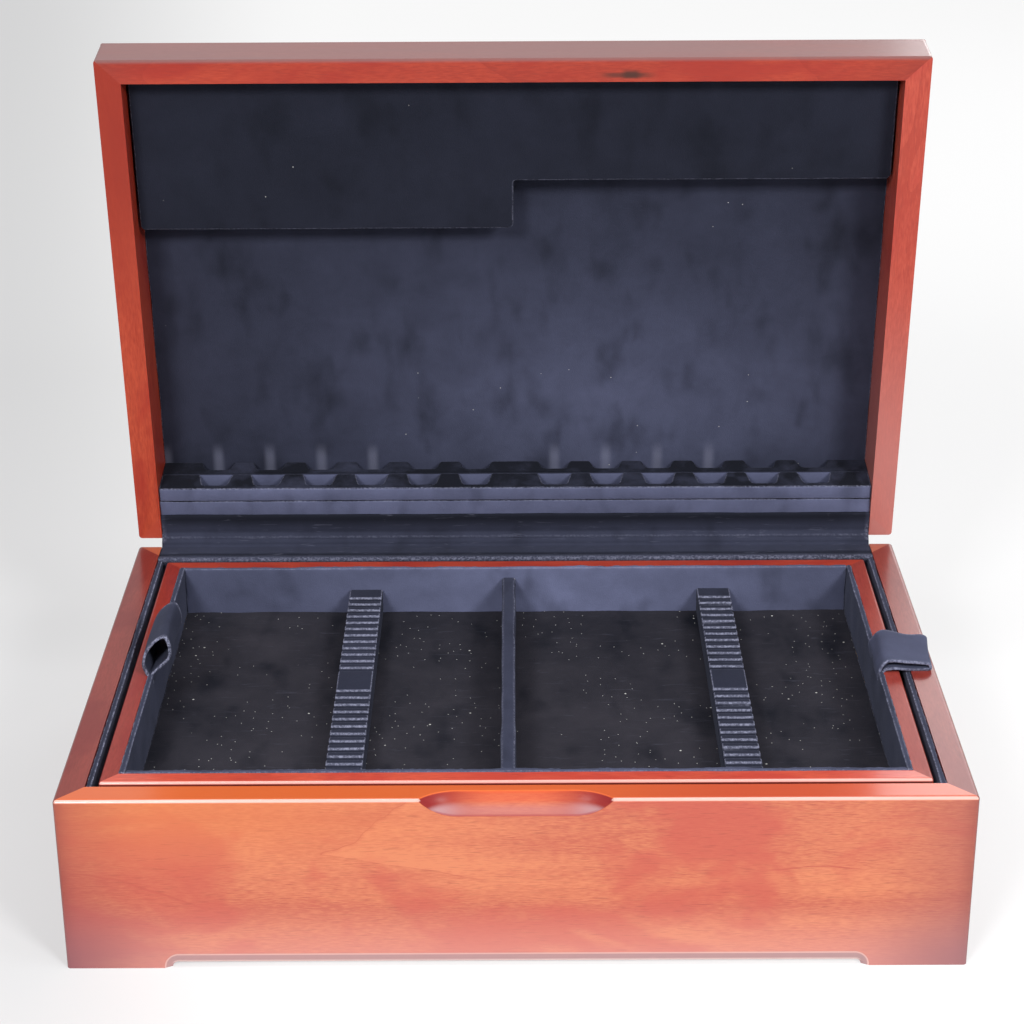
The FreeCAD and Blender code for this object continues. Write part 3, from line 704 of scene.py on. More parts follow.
def brass(name):
    """Satin brass, a little tarnished in slow patches."""
    colours = bpy.context.scene.cutlery_box_colours
    finish = Finish(name, Metallic=1.0)
    place = finish.place()
    tarnish = finish.noise(place, 260.0, 4.0, 0.6)
    brushed = finish.noise(finish.moved(place, scale=(300.0, 4000.0, 4000.0)), 1.0, 2.0)
    dark = tuple(c * 0.45 for c in colours.brass)
    finish.feed(Base_Color=finish.mix(tarnish.step(0.45, 0.75) * 0.6, colours.brass, dark),
                Roughness=tarnish * 0.3 + 0.2)
    finish.bump(brushed, 0.1, 0.0001)
    return finish.material


def dress(material, *names):
    """Gives solids that stay as they are a better finish."""
    for name in names:
        slots = frame["nodes"][name].data.materials
        slots.clear()
        slots.append(material)


# ---- Operators ------------------------------------------------------------------------------


class CUTLERY_OT_wood(bpy.types.Operator):
    """Finish the wooden walls, rails, bars and boards"""

    bl_idname = "cutlery.wood"
    bl_label = "Wood"

    def execute(self, context):
        colours = context.scene.cutlery_box_colours
        low, high = node_box("base_front_panel")
        side_low, side_high = node_box("base_left_panel")
        pale, deep, edge = (tuple(c) for c in (colours.wood_light, colours.wood_dark,
                                               colours.wood_edge))
        wine = (0.24, 0.035, 0.026)
        left, front, top, right = low[0], low[1], high[2], high[0]
        # Darker stain towards both ends; the two lower-corner tints mix that stain with the painted
        # floor reflection below.
        ends = [([(0, right - 60, right + 25)], 0.8, (0.26, 0.06, 0.055)),
                ([(0, left + 50, left - 25)], 0.85, (0.26, 0.04, 0.035)),
                ([(0, right - 9, right + 3)], 0.5, edge),
                ([(0, left + 9, left - 3)], 0.5, edge),
                ([(0, left + 80, left - 20), (2, 50, 0)], 0.85, (0.2, 0.07, 0.085)),
                ([(0, right - 80, right + 20), (2, 50, 0)], 0.8, (0.26, 0.115, 0.125))]
        # Painted reflection: the lower part of the wall is tinted pink for the pale floor it reflects;
        # the second tint is an orange stain towards the upper left.
        foot = [([(2, 44, -14)], 0.8, (0.56, 0.245, 0.215)),
                ([(2, 44, 96), (0, 30, -160)], 0.5, (0.6, 0.17, 0.045))]
        # Painted light on the sloped band under the arch: a greyish pink band for the pale floor it
        # reflects, between two painted highlight lines.
        under = [(2, 12, 11), (0, left + 6, left + 9), (0, right - 6, right - 9)]
        painted_bevel_light = [(under + [(1, front + 0.3, front + 0.5)], 0.8, (0.34, 0.215, 0.22)),
                 (under + [(1, front + 0.02, front + 0.1), (1, front + 0.5, front + 0.3)], 0.8,
                  (0.6, 0.38, 0.35)),
                 (under + [(1, front + 1.5, front + 1.8), (2, 2.0, 2.4)], 0.8,
                  (0.6, 0.43, 0.4))]
        scoop = [(0, -56, -52), (0, 56, 52), (1, front + 0.2, front + 0.6), (2, 84, 86),
                 (2, top - 0.3, top - 0.9)]
        # Stain tints on the top face and in the finger scoop, deeper red above and maroon at its ends;
        # the lacquer is left out of the scoop.
        pull = [([(2, top - 2.2, top - 0.4)], 0.85, (0.66, 0.125, 0.03)),
                (scoop + [(2, 91.5, 94.5)], 0.6, (0.5, 0.075, 0.035)),
                (scoop + [(0, -10, -46)], 0.9, (0.2, 0.016, 0.022)),
                (scoop + [(0, 10, 46)], 0.9, (0.2, 0.016, 0.022)),
                # Painted reflection low in the scoop, and painted highlights at its lower ends.
                (scoop + [(2, 94.0, 90.5)], 0.6, (0.4, 0.15, 0.15)),
                (scoop + [(2, 93.8, 91.2), (0, -22, -46)], 0.75, (0.42, 0.28, 0.3)),
                (scoop + [(2, 93.8, 91.2), (0, 22, 46)], 0.75, (0.42, 0.28, 0.3)),
                # A darker line along the scoop's lower edge.
                ([(0, -50, -46), (0, 50, 46), (1, front + 0.1, front + 0.3),
                  (1, front + 1.5, front + 0.9), (2, 84, 86), (2, 93, 90)], 0.55,
                 (0.3, 0.045, 0.05)),
                ([(2, top - 0.6, top - 0.3), (0, 10, 120)], 0.75, (0.52, 0.075, 0.035)),
                # Painted highlight along the rounded top front edge.
                ([(1, front + 1.5, front + 1.0), (2, top - 1.8, top - 1.1)], 0.8,
                 (0.7, 0.47, 0.42))]
        flame = (-94.0, 66.6, 1.44, 5.4, 130.0)
        curves = ((-222.0, 55.6, 0.0051, -222.0, -156.0), (149.0, 59.5, 0.0055, 126.0, 172.0))
        dress(stained_wood("wood_front_wall", "x", light=pale, dark=deep, figure=0.5,
                           shade=foot + ends + painted_bevel_light + pull, flame=flame, curves=curves,
                           matt=scoop, coat=0.8, seed=0.31), "base_front_panel")
        # The rear wall takes the same painted floor reflection low down, and the darker stain at its
        # ends.
        dress(stained_wood("wood_rear_wall", "x", light=pale, dark=deep, shade=foot + ends,
                           seed=1.7), "base_rear_panel")
        along = [([(1, side_low[1] + 38, side_low[1] - 4)], 0.5, edge),
                 ([(1, side_high[1] - 38, side_high[1] + 4)], 0.5, edge)]
        for name, seed in (("left", 2.9), ("right", 4.1)):
            dress(stained_wood("wood_" + name + "_wall", "y", light=wine,
                               dark=tuple(0.7 * c for c in wine), shade=along, coat=0.5,
                               seed=seed), "base_" + name + "_panel")
        bar = node_box("tray_front_bar")
        # Painted highlight along the front bar's rounded top front edge, and painted shadow on its face
        # below.
        painted_edge_light_and_shadow = [([(1, bar[0][1] + 1.3, bar[0][1] + 0.8), (2, bar[1][2] - 1.6, bar[1][2] - 0.9)],
                     0.85, (0.78, 0.42, 0.37)),
                    ([(1, bar[0][1] + 0.4, bar[0][1] + 0.1), (2, bar[1][2] - 1.0, bar[1][2] - 1.7)],
                     0.9, (0.08, 0.012, 0.01))]
        for name, along, coat, light in (("front", "x", 0.7, (0.68, 0.1, 0.055)),
                                         ("rear", "x", 0.4, (0.4, 0.05, 0.028)),
                                         ("left", "y", 0.3, (0.31, 0.036, 0.026)),
                                         ("right", "y", 0.12, (0.31, 0.05, 0.038))):
            dress(stained_wood("wood_tray_" + name, along, light=light, figure=0.5, coat=coat,
                               dark=tuple(0.72 * c for c in light), seed=5.2 + coat,
                               shade=painted_edge_light_and_shadow if name == "front" else ()),
                  "tray_" + name + "_bar")
        lid_ends = [([(0, right - 42, right + 14)], 0.4, edge),
                    ([(0, left + 38, left - 14)], 0.4, edge)]
        # The lid's front outer face is tinted greyish pink: a darker stain together with painted
        # reflection of the light above; the other two tints are a knot.
        painted_reflection_and_knot = [([(1, front + 3.0, front + 0.4)], 0.8, (0.205, 0.112, 0.11)),
                ([(0, 44, 56), (0, 82, 70), (1, front + 8, front + 9.5),
                  (1, front + 12.5, front + 10.5)], 0.75, (0.06, 0.018, 0.012)),
                ([(0, 58, 63), (0, 72, 67), (1, front + 6, front + 9), (1, front + 13, front + 11)],
                 0.8, (0.04, 0.015, 0.01))]
        dress(stained_wood("wood_lid_x", "x", True, shade=lid_ends + painted_reflection_and_knot, coat=0.4, seed=7.7),
              "lid_front_rail")
        rear = side_high[1]
        # The right end gets the right rail's painted reflection; the left end is tinted to the left
        # rail's colour.
        end_tints_and_reflection = [([(0, right - 22, right - 10)], 0.7, (0.5, 0.21, 0.19)),
                ([(0, left + 22, left + 10)], 0.7, (0.42, 0.058, 0.028))]
        dress(stained_wood("wood_lid_rear", "x", True, shade=end_tints_and_reflection, coat=0.3, seed=7.7),
              "lid_rear_rail")
        # Painted reflection: a pale pink tint on the right rail towards the rear.
        painted_rail_reflection = [([(1, rear - 190, rear - 30)], 0.6, (0.5, 0.21, 0.19))]
        deeper = [([(1, front + 220, front + 60)], 0.85, (0.24, 0.022, 0.012))]
        dress(stained_wood("wood_lid_left", "y", True, light=(0.46, 0.068, 0.03),
                           dark=(0.3, 0.034, 0.016), coat=0.2, shade=deeper, seed=8.9),
              "lid_left_rail")
        dress(stained_wood("wood_lid_right", "y", True, light=(0.48, 0.08, 0.05),
                           dark=(0.34, 0.045, 0.028), coat=0.3, shade=painted_rail_reflection, seed=9.3),
              "lid_right_rail")
        dress(stained_wood("wood_lid_top", "x", True, shade=lid_ends, seed=9.6),
              "lid_top_panel")
        dress(plain_board("plain_board"), "base_floor_panel", "base_foot_blocks",
              "tray_floor_panel")
        return {"FINISHED"}


class CUTLERY_OT_hinges(bpy.types.Operator):
    """Finish the two butt hinges, their pins and screws"""

    bl_idname = "cutlery.hinges"
    bl_label = "Hinges"

    def execute(self, context):
        dress(brass("hinge_brass"), *[name for name in frame["nodes"]
                                      if name.startswith("hinge_") and "cover" not in name])
        return {"FINISHED"}


class CUTLERY_OT_base_lining(bpy.types.Operator):
    """Line the base with velvet-wrapped boards and ledges"""

    bl_idname = "cutlery.base_lining"
    bl_label = "Base lining"

    def execute(self, context):
        sizes = context.scene.cutlery_box_sizes
        # The upright boards get a paler tone than the floor: painted light and shade for the way each
        # faces.
        upright = velvet("velvet_base_sides", 0.22, rim=1.5, seed=1.3)
        flat = velvet("velvet_base_floor", 0.15, lint=0.2, seed=2.2)
        for seed, name in enumerate(("base_left_lining", "base_right_lining",
                                     "base_front_lining", "base_rear_lining",
                                     "tray_ledge_left", "tray_ledge_right")):
            shape = soft_board(*node_box(name), sizes.board_round, 2.0,
                               sizes.board_unevenness, seed + 10, sizes.fray)
            make_piece("velvet_" + name, shape, upright, "base", [name])
        low, high = node_box("base_floor_lining")
        shape = soft_board(low, high, 0.8, 9.0, sizes.board_unevenness, 19)
        make_piece("velvet_base_floor_lining", shape, flat, "base",
                   ["base_floor_lining"])
        return {"FINISHED"}


class CUTLERY_OT_hinge_cover(bpy.types.Operator):
    """Lay the velvet that runs from the rear wall over the hinges and up the lid's rear rail"""

    bl_idname = "cutlery.hinge_cover"
    bl_label = "Hinge cover"

    def execute(self, context):
        cloth = context.scene.cutlery_box_sizes.cover_thickness
        base_low, base_high = node_box("hinge_cover_base")
        lid_low, lid_high = node_box("hinge_cover_lid")
        radius = PIN[2] - node_box("hinge_left_base_leaf")[0][2] + 0.35 + cloth / 2
        face, top = base_low[1] + cloth / 2, base_high[2] - cloth / 2
        crease = lid_low[1] + 1.0
        below = [(face, base_low[2] + 0.6, 1), (face, top - 4.6, 1), (face - 0.6, top - 2.2, 1),
                 (face - 1.5, top - 0.5, 1.2), (face - 0.6, top + 0.35, 1.2),
                 (face + 1.7, top + 0.2, 1), (crease - 1.3, top, 1),
                 (crease, top - 0.45, 0.55), (crease + 1.3, top, 1),
                 (crease + 4.5, top, 1), (base_high[1] - 2.2, top, 1)]
        roll = [(PIN[1] - radius * math.cos(a), PIN[2] + radius * math.sin(a), 1)
                for a in np.radians([5, 30, 55])]
        ridge = [(PIN[1] - 1.75, PIN[2] + radius + 0.1, 1.5), (PIN[1] - 0.5, PIN[2] + 5.4, 1.2)]
        seat = lid_low[2] + 0.2 + cloth / 2
        band = np.array([(0, lid_high[1] - 3.5, seat), (0, lid_high[1] - 6.5, seat),
                         (0, lid_low[1] + 4.0, seat), (0, lid_low[1] + 0.9, seat),
                         (0, lid_low[1] - 0.6, seat + 0.3), (0, lid_low[1] - 0.8, seat + 1.2)])
        band = [(y, z, 1) for x, y, z in turned(band, -SWING)]
        path = smooth_path(below + roll + ridge + band, 150)
        outline = strip(path[:, :2], path[:, 2] * cloth)
        x = np.linspace(base_low[0] + 0.3, base_high[0] - 0.3, 150)
        points = np.empty((len(x), len(outline), 3))
        points[..., 0] = x[:, None]
        points[..., 1], points[..., 2] = outline[None, :, 0], outline[None, :, 1]
        flat = points.reshape(-1, 3)
        wave = ripple(flat * [1, 0.3, 0.3], 50.0, 5)
        flat[:, 2] += 0.14 * wave * (flat[:, 1] > face + 2)
        flat[:, 1] += 0.16 * ripple(flat * [1, 0.3, 0.3], 28.0, 6)
        n, m = len(x), len(outline)
        faces = [tuple(f) for f in quads(n, m, 0, close_columns=True)]
        faces.append(tuple(range(m)))
        faces.append(tuple(range((n - 1) * m, n * m))[::-1])
        # Paler along the lip, along the rear wall's top edge and at the ends up on the lid: wear and
        # painted sheen.
        lip = np.hypot(flat[:, 1] - PIN[1] + 1.9, flat[:, 2] - PIN[2] - radius - 0.4)
        edge = np.hypot(flat[:, 1] - face + 1.2, flat[:, 2] - top)
        ends = np.minimum(flat[:, 0] - x[0], x[-1] - flat[:, 0])
        wear_sheen_and_shade = np.clip(1.1 - lip / 0.9, 0, 1) * 0.55 + np.clip(1.5 - edge / 2.0, 0, 1) * 0.8
        wear_sheen_and_shade = np.maximum(wear_sheen_and_shade, np.clip(1 - ends / 1.5, 0, 1) * (flat[:, 2] > top + 3) * 0.8)
        # Painted shade along the crease, and on the band up the lid's rear rail below the knife rack.
        dark = np.clip(1 - np.abs(flat[:, 1] - crease) / 3.0, 0, 1) * (flat[:, 2] < top + 2)
        under = np.clip((flat[:, 2] - PIN[2] - 10.0) / 6.0, 0, 1)
        wear_sheen_and_shade = np.clip(wear_sheen_and_shade, 0, 1) - 0.85 * np.maximum(dark, under)
        piece = make_piece("velvet_hinge_cover", (flat, faces, wear_sheen_and_shade),
                           velvet("velvet_hinge_cover", 0.17, streaks=0.12, rim=0.55, seed=3.1),
                           None,
                           ["hinge_cover_base", "hinge_cover_lid", "hinge_cover_fold"])
        (base_high[1] - 2.2) * MM
        top * MM
        ridge[1][0] * MM
        ridge[1][1] * MM
        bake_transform(piece)
        return {"FINISHED"}


class CUTLERY_OT_tray_lining(bpy.types.Operator):
    """Line the tray's sides and floor with velvet, and set its divider"""

    bl_idname = "cutlery.tray_lining"
    bl_label = "Tray lining"

    def execute(self, context):
        sizes = context.scene.cutlery_box_sizes
        low, high = node_box("tray_rear_lining")
        # The ends get a paler tone than the sides and a painted patch of light round their middle:
        # painted light and shade.
        lit = velvet("velvet_tray_ends", 0.36, rim=0.4, mottle=0.8,
                     painted_light_pool=(30.0, high[1], 100.0, 100.0, 0.58), seed=4.6)
        side = velvet("velvet_tray_sides", 0.28, rim=1.1, seed=5.5)
        for seed, (name, finish) in enumerate((("tray_rear_lining", lit),
                                               ("tray_front_lining", lit),
                                               ("tray_left_lining", side),
                                               ("tray_right_lining", side))):
            low, high = node_box(name)
            high[2] += sizes.fuzz_height
            shape = soft_board(low, high, sizes.board_round, 1.9, sizes.board_unevenness,
                               seed + 30, sizes.fray)
            make_piece("velvet_" + name, shape, finish, "tray", [name])
        low, high = node_box("tray_floor_lining")
        shape = soft_board(low, high, 0.8, 7.0, 0.25, 39)
        make_piece("velvet_tray_floor_lining", shape,
                   velvet("velvet_tray_floor", 0.13, lint=1.2, streaks=0.07, mottle=1.8,
                          light=(0.145, 0.13, 0.155), sheen=0.02, seed=6.8),
                   "tray", ["tray_floor_lining"])
        low, high = node_box("tray_divider")
        shape = soft_board(low, high, 1.6, 4.0, 0.3, 41)
        make_piece("velvet_tray_divider", shape,
                   velvet("velvet_divider", 0.25, lint=0.15, rim=0.6, seed=7.3),
                   "tray", ["tray_divider"])
        return {"FINISHED"}


class CUTLERY_OT_spoon_racks(bpy.types.Operator):
    """Build the two ribbed racks that hold spoons and forks"""

    bl_idname = "cutlery.spoon_racks"
    bl_label = "Spoon racks"

    def execute(self, context):
        sizes = context.scene.cutlery_box_sizes
        finish = velvet("velvet_racks", 0.13, rim=0.95, tufts=0.7, sheen=0.05, seed=8.2)
        for name in ("spoon_rack_left", "spoon_rack_right"):
            low, high = node_box(name)
            middle = (low[1] + high[1]) / 2 + sizes.rack_shift
            first = sizes.rack_block / 2 + sizes.slot_pitch / 2
            steps = first + sizes.slot_pitch * np.arange(sizes.rack_slots)
            centres = np.sort(np.concatenate([middle - steps, middle + steps]))
            floor = high[2] - sizes.slot_depth
            half = sizes.slot_width / 2
            corners = [(low[1], low[2]), (high[1], low[2]), (high[1], high[2])]
            radii = [0.0, 0.0, 1.2]
            for y in centres[::-1]:
                corners += [(y + half, high[2]), (y + half, floor), (y - half, floor),
                            (y - half, high[2])]
                radii += [1.3, 1.2, 1.2, 1.3]
            corners.append((low[1], high[2]))
            radii.append(1.2)
            shape = moulded_board(rounded(corners, radii, 5), low[0], high[0], 0.9,
                                  (1, 2, 0), 0.12, 50)
            points, faces, rim = shape
            # Paler rims along the rib tops and slot edges: wear and painted sheen.
            crown = np.clip((points[:, 2] - high[2] + 1.6) / 1.4, 0, 1)
            near_slot = np.min(np.abs(np.abs(points[:, 1][:, None] - centres) - half - 0.4),
                               axis=1)
            lines = (points[:, 2] > high[2] - 1.2) * np.clip(1.3 - near_slot / 0.6, 0, 1)
            make_piece("velvet_" + name, (points, faces, np.maximum(rim * crown, lines)),
                       finish, "tray", [name])
        return {"FINISHED"}


class CUTLERY_OT_pull_tabs(bpy.types.Operator):
    """Loop the two velvet tapes that lift the tray"""

    bl_idname = "cutlery.pull_tabs"
    bl_label = "Pull tabs"

    def execute(self, context):
        sizes = context.scene.cutlery_box_sizes
        root_low, root_high = node_box("tray_left_lining")
        tab_low, tab_high = node_box("pull_tab_left")
        root, rim = (root_low[0] + root_high[0]) / 2, tab_low[2]
        foot = rim - 5.0
        keys = [(root - 0.8, foot), (root - 1.3, rim), (root - 3.6, rim + 7.0),
                (root - 1.6, rim + 14.5), (root + 3.2, rim + 20.5), (root + 7.4, rim + 23.0),
                (root + 9.4, rim + 21.0), (root + 10.6, rim + 15.0), (root + 9.6, rim + 9.4),
                (root + 4.6, rim + 4.6), (root + 0.9, rim + 0.6), (root + 0.8, foot)]
        self.loop("velvet_pull_tab_left", keys, tab_low[1], tab_high[1], sizes,
                  velvet("velvet_tab_left", 0.3, rim=1.1, seed=9.4), "pull_tab_left",
                  "tray_left_bar", 61, lean=1.5, slope=1.0)
        lie_low, lie_high = node_box("pull_tab_right")
        root_low, root_high = node_box("tray_right_lining")
        root = (root_low[0] + root_high[0]) / 2
        low, high, far = lie_low[2] + 1.5, lie_high[2] + 0.6, lie_high[0] - 2.6
        foot = lie_low[2] - 5.0
        keys = [(root + 0.8, foot), (root + 1.3, low - 1.6), (root + 3.4, low + 0.4),
                (root + 9.0, low + 0.9), (root + 16.0, low + 0.1), (far - 2.5, low + 0.2),
                (far - 0.7, low + 1.2), (far - 2.5, high - 0.6), (root + 16.0, high + 0.2),
                (root + 9.0, high + 1.0), (root + 2.6, high + 0.4), (root - 0.6, low - 0.4),
                (root - 0.8, foot)]
        piece = self.loop("velvet_pull_tab_right", keys, lie_low[1], lie_high[1] - 4.0, sizes,
                          velvet("velvet_tab_right", 0.5, rim=0.9, seed=9.9),
                          "pull_tab_right", "tray_right_bar", 67, lean=3.6, slope=-3.0)
        root * MM
        rim * MM
        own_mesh(piece)
        return {"FINISHED"}

    def loop(self, name, keys, low, high, sizes, finish, node, rest, seed, lean, slope):
        """A tape carried along a looped path in X and Z, over its width in Y. Above the root
        it is moved by lean in X and slope in Z from its front edge to its rear one, and by
        ripples."""
        path = smooth_path(keys, 96)
        outline = strip(path, sizes.tape_thickness)
        y = rungs(low, high, 0.7, 1.6)
        points = np.empty((len(y), len(outline), 3))
        points[..., 0], points[..., 2] = outline[None, :, 0], outline[None, :, 1]
        points[..., 1] = y[:, None]
        flat = points.reshape(-1, 3)
        share = (flat[:, 1] - low) / (high - low)
        out = np.clip((flat[:, 2] - keys[0][1] - 5.0) / 4.0, 0, 1)
        out *= np.clip(np.abs(flat[:, 0] - keys[0][0]) / 12.0, 0.3, 1)
        flat[:, 0] += out * (lean * share + 0.6 * ripple(flat * [0.3, 1, 0.3], 30.0, seed))
        flat[:, 2] += out * (slope * share + 0.7 * ripple(flat * [1, 0.6, 0.2], 22.0, seed + 1))
        flat[:, 1] += 0.35 * ripple(flat * [1, 0, 1], 5.0, seed + 2) * (np.abs(share - 0.5) * 2)
        n, m = len(y), len(outline)
        faces = [tuple(f) for f in quads(n, m, 0, close_columns=True)]
        faces.append(tuple(range(m)))
        faces.append(tuple(range((n - 1) * m, n * m))[::-1])
        edge = np.minimum(y - low, high - y)
        wear_sheen_and_shade = np.repeat(np.clip(1.2 - edge / 1.0, 0, 1), m)
        piece = make_piece(name, (flat, faces, wear_sheen_and_shade), finish, "tray", [node])
        (high - low) * MM
        return piece


class CUTLERY_OT_lid_lining(bpy.types.Operator):
    """Line the lid's back and hang the stepped blade pocket"""

    bl_idname = "cutlery.lid_lining"
    bl_label = "Lid lining"

    def execute(self, context):
        sizes = context.scene.cutlery_box_sizes
        low, high = node_box("lid_back_lining")
        shape = soft_board(low, high, 0.9, 8.0, 0.3, 71)
        # A painted patch of light low and right of the middle, fading towards the top and the left:
        # painted light and shade.
        make_piece("velvet_lid_back_lining", shape,
                   velvet("velvet_lid_back", 0.066, True, lint=0.06, mottle=1.4,
                          painted_light_pool=(58.0, high[1] - 52.0, 135.0, 72.0, 0.42),
                          notches=(sizes.notch_first, sizes.notch_pitch,
                                   node_box("knife_rack_rear_comb")[0][1], -70.0, 138.0),
                          seed=10.3),
                   "lid", ["lid_back_lining"], shut_lid=True)
        low, high = node_box("blade_pocket_flap")
        step = node_box("pocket_spacer_left")[1][1]
        outline = rounded([(low[0], low[1]), (high[0], low[1]), (high[0], step), (0.0, step),
                           (0.0, high[1]), (low[0], high[1])],
                          [0.0, 0.0, 3.0, 1.5, 3.5, 3.0], 6)
        shape = moulded_board(refined(outline, 6.0), low[2], high[2], sizes.board_round,
                              (0, 1, 2), 0.2, 73)
        # A darker tone for the flap: painted shade, for the flap lying in shadow.
        make_piece("velvet_blade_pocket_flap", shape,
                   velvet("velvet_flap", 0.045, True, rim=0.35, lint=0.03, mottle=1.6,
                            seed=11.9),
                   "lid", ["blade_pocket_flap"], shut_lid=True)
        spacer = velvet("velvet_spacers", 0.15, True, seed=12.7)
        for seed, name in enumerate(("pocket_spacer_front", "pocket_spacer_left",
                                     "pocket_spacer_right")):
            shape = soft_board(*node_box(name), sizes.board_round, 6.0, 0.1, seed + 75)
            make_piece("velvet_" + name, shape, spacer, "lid", [name],
                       shut_lid=True)
        return {"FINISHED"}


class CUTLERY_OT_knife_rack(bpy.types.Operator):
    """Build the knife rack: a plain bar and two notched combs"""

    bl_idname = "cutlery.knife_rack"
    bl_label = "Knife rack"

    def execute(self, context):
        sizes = context.scene.cutlery_box_sizes
        up = turned(np.array([[0, PIN[1] - 1, PIN[2]], [0, PIN[1], PIN[2]]]), -SWING)
        up = tuple(up[0] - up[1])
        # Painted shade: faces pointing up in the opened lid are darkened, for the pile seen on end.
        finish = velvet("velvet_knife_rack", 0.72, True, nap=up, nap_painted_shade=0.66, rim=0.5,
                        sheen=0.04, seed=13.6)
        low, high = node_box("knife_rack_base")
        shape = soft_board(low, high, 0.9, 5.0, 0.25, 81)
        make_piece("velvet_knife_rack_base", shape, finish, "lid",
                   ["knife_rack_base"], shut_lid=True)
        side = sizes.notch_first + sizes.notch_pitch * np.arange(sizes.notch_count)
        centres = np.concatenate([-side[::-1], side])
        spines = {"knife_rack_front_comb": 4.2, "knife_rack_rear_comb": 5.8}
        for seed, (name, spine) in enumerate(spines.items()):
            low, high = node_box(name)
            front = low[2] + spine
            corners = [(low[0], low[2]), (high[0], low[2]), (high[0], high[2])]
            radii = [1.2, 1.2, 0.0]
            for x in centres[::-1]:
                near, far = sizes.notch_front / 2, sizes.notch_rear / 2
                corners += [(x + far, high[2]), (x + near, front), (x - near, front),
                            (x - far, high[2])]
                radii += [1.7, 3.2, 3.2, 1.7]
            corners.append((low[0], high[2]))
            radii.append(0.0)
            outline = refined(rounded(corners, radii, 5), 4.0)
            shape = moulded_board(outline, low[1], high[1], 1.1, (0, 2, 1), 0.15, 83 + seed)
            # Painted shade on the rear comb's rounded edges, for the groove between the two combs.
            if seed:
                shape = (shape[0], shape[1], -0.8 * shape[2])
            make_piece("velvet_" + name, shape, finish, "lid", [name],
                       shut_lid=True)
        return {"FINISHED"}


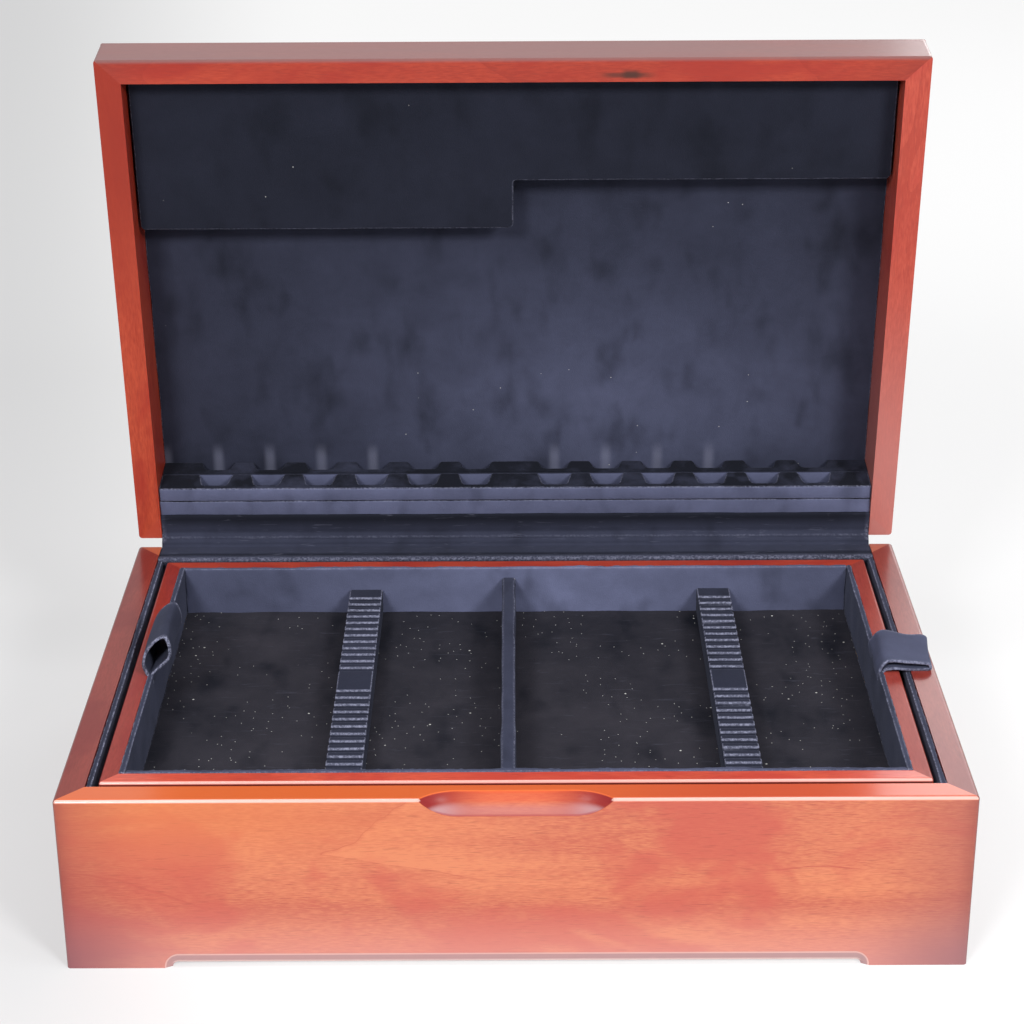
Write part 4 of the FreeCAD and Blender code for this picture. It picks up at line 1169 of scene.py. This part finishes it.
class CUTLERY_OT_stage(bpy.types.Operator):
    """Set the pale floor, the soft light and the camera"""

    bl_idname = "cutlery.stage"
    bl_label = "Stage"

    def execute(self, context):
        self.floor()
        self.lights(context)
        self.camera(context)
        return {"FINISHED"}

    def floor(self):
        """A wide floor that curves up into a backdrop behind the box."""
        t = np.linspace(0, np.pi / 2, 24)
        y = np.concatenate([[-40.0, -6.0], 3.0 + 2.0 * np.sin(t), [5.0]])
        z = np.concatenate([[0.0, 0.0], 2.0 - 2.0 * np.cos(t), [8.0]])
        x = np.linspace(-9.0, 9.0, 12)
        points = np.empty((len(x), len(y), 3))
        points[..., 0], points[..., 1], points[..., 2] = x[:, None], y, z
        mesh = bpy.data.meshes.new("floor")
        mesh.from_pydata(points.reshape(-1, 3).tolist(), [],
                         [tuple(f) for f in quads(len(x), len(y))])
        mesh.polygons.foreach_set("use_smooth", np.ones(len(mesh.polygons), bool))
        floor = bpy.data.objects.new("floor", mesh)
        bpy.context.scene.collection.objects.link(floor)
        finish = Finish("studio_floor", Roughness=0.9)
        finish.shader.inputs["Base Color"].default_value = (0.86, 0.86, 0.87, 1.0)
        path = finish.node("ShaderNodeLightPath", {}, {})
        seen = finish.out(path, "Is Camera Ray").math("MAXIMUM",
                                                      finish.out(path, "Is Glossy Ray"))
        across, along, height = finish.axes(finish.place())
        # Painted shade: the floor and backdrop turn darker towards the left.
        painted_shade_falloff = (across / (along.math("MAXIMUM", -0.5) + height + 1.5)).step(-0.07, -0.2)
        tone = finish.mix(painted_shade_falloff, (1.0, 1.0, 1.0), (0.69, 0.69, 0.695))
        glow = finish.node("ShaderNodeEmission", {}, {"Color": tone, "Strength": 1.0})
        far = along.size().step(0.45, 1.3)
        blend = finish.node("ShaderNodeMixShader", {}, {
            0: seen * (far * 0.3 + 0.6), 1: finish.out(finish.shader), 2: finish.out(glow)})
        target = next(n for n in finish.tree.nodes if n.type == "OUTPUT_MATERIAL")
        finish.tree.links.new(blend.outputs[0], target.inputs["Surface"])
        mesh.materials.append(finish.material)

    def lights(self, context):
        world = bpy.data.worlds.new("studio")
        context.scene.world = world
        world.use_nodes = True
        world.node_tree.nodes["Background"].inputs[0].default_value = (1, 1, 1, 1)
        world.node_tree.nodes["Background"].inputs[1].default_value = 0.22
        for name, spot, target, size, power in (
                ("left", (-0.8, -1.9, 1.45), (0, 0, 0.15), (0.5, 0.45), 33.0),
                ("right", (1.15, -1.75, 1.45), (0, 0, 0.15), (0.5, 0.45), 36.0),
                ("top", (0.0, -0.45, 2.0), (0, -0.1, 0.1), (2.4, 0.55), 20.0),
                ("rear", (0.95, 1.6, 0.95), (0.2, 0, 0.1), (0.9, 0.8), 8.0)):
            lamp = bpy.data.lights.new(name, "AREA")
            lamp.shape, lamp.size, lamp.size_y = "RECTANGLE", size[0], size[1]
            lamp.energy = power
            light = bpy.data.objects.new(name, lamp)
            light.location = spot
            aim = Vector(target) - Vector(spot)
            light.rotation_euler = aim.to_track_quat("-Z", "Y").to_euler()
            context.scene.collection.objects.link(light)

    def camera(self, context):
        """The camera looks along (sin yaw cos pitch, cos yaw cos pitch, -sin pitch), with the
        picture turned by roll about that line."""
        view = context.scene.cutlery_box_view
        ahead = Vector((math.sin(view.yaw) * math.cos(view.pitch),
                        math.cos(view.yaw) * math.cos(view.pitch), -math.sin(view.pitch)))
        right = Vector((math.cos(view.yaw), -math.sin(view.yaw), 0.0))
        down = ahead.cross(right)
        across = math.cos(view.roll) * right + math.sin(view.roll) * down
        below = math.cos(view.roll) * down - math.sin(view.roll) * right
        data = bpy.data.cameras.new("camera")
        data.sensor_width = SENSOR
        data.lens = view.focal * SENSOR / PICTURE
        data.clip_start, data.clip_end = 0.05, 50.0
        camera = bpy.data.objects.new("camera", data)
        turn = Matrix((across, -below, -ahead)).transposed()
        front = node_box("base_front_panel")[0][1]
        spot = Vector((view.camera_x, front + view.camera_y, view.camera_z)) * MM
        camera.matrix_world = Matrix.Translation(spot) @ turn.to_4x4()
        context.scene.collection.objects.link(camera)
        context.scene.camera = camera
        context.scene.view_settings.view_transform = "Standard"


class CUTLERY_PT_panel(bpy.types.Panel):
    """Lists the pieces and the stage of the cutlery box"""

    bl_idname = "CUTLERY_PT_panel"
    bl_label = "Cutlery box"
    bl_space_type = "VIEW_3D"
    bl_region_type = "UI"
    bl_category = "Cutlery box"

    def draw(self, context):
        for step in STEPS:
            self.layout.operator(step.bl_idname)
        for group in (context.scene.cutlery_box_sizes, context.scene.cutlery_box_colours,
                      context.scene.cutlery_box_view):
            box = self.layout.box()
            for name in group.__annotations__:
                box.prop(group, name)


GROUPS = {
    "cutlery_box_sizes": CutleryBoxSizes,
    "cutlery_box_colours": CutleryBoxColours,
    "cutlery_box_view": CutleryBoxView,
}
STEPS = (CUTLERY_OT_stage, CUTLERY_OT_wood, CUTLERY_OT_hinges, CUTLERY_OT_base_lining,
         CUTLERY_OT_hinge_cover, CUTLERY_OT_tray_lining, CUTLERY_OT_spoon_racks,
         CUTLERY_OT_pull_tabs, CUTLERY_OT_lid_lining, CUTLERY_OT_knife_rack)


def register():
    for name, group in GROUPS.items():
        bpy.utils.register_class(group)
        setattr(bpy.types.Scene, name, PointerProperty(type=group))
    for item in STEPS + (CUTLERY_PT_panel,):
        bpy.utils.register_class(item)


def unregister():
    for item in reversed(STEPS + (CUTLERY_PT_panel,)):
        bpy.utils.unregister_class(item)
    for name, group in reversed(GROUPS.items()):
        delattr(bpy.types.Scene, name)
        bpy.utils.unregister_class(group)


def main():
    register()
    for step in STEPS:
        family, name = step.bl_idname.split(".")
        getattr(getattr(bpy.ops, family), name)()


if __name__ == "__main__":
    main()
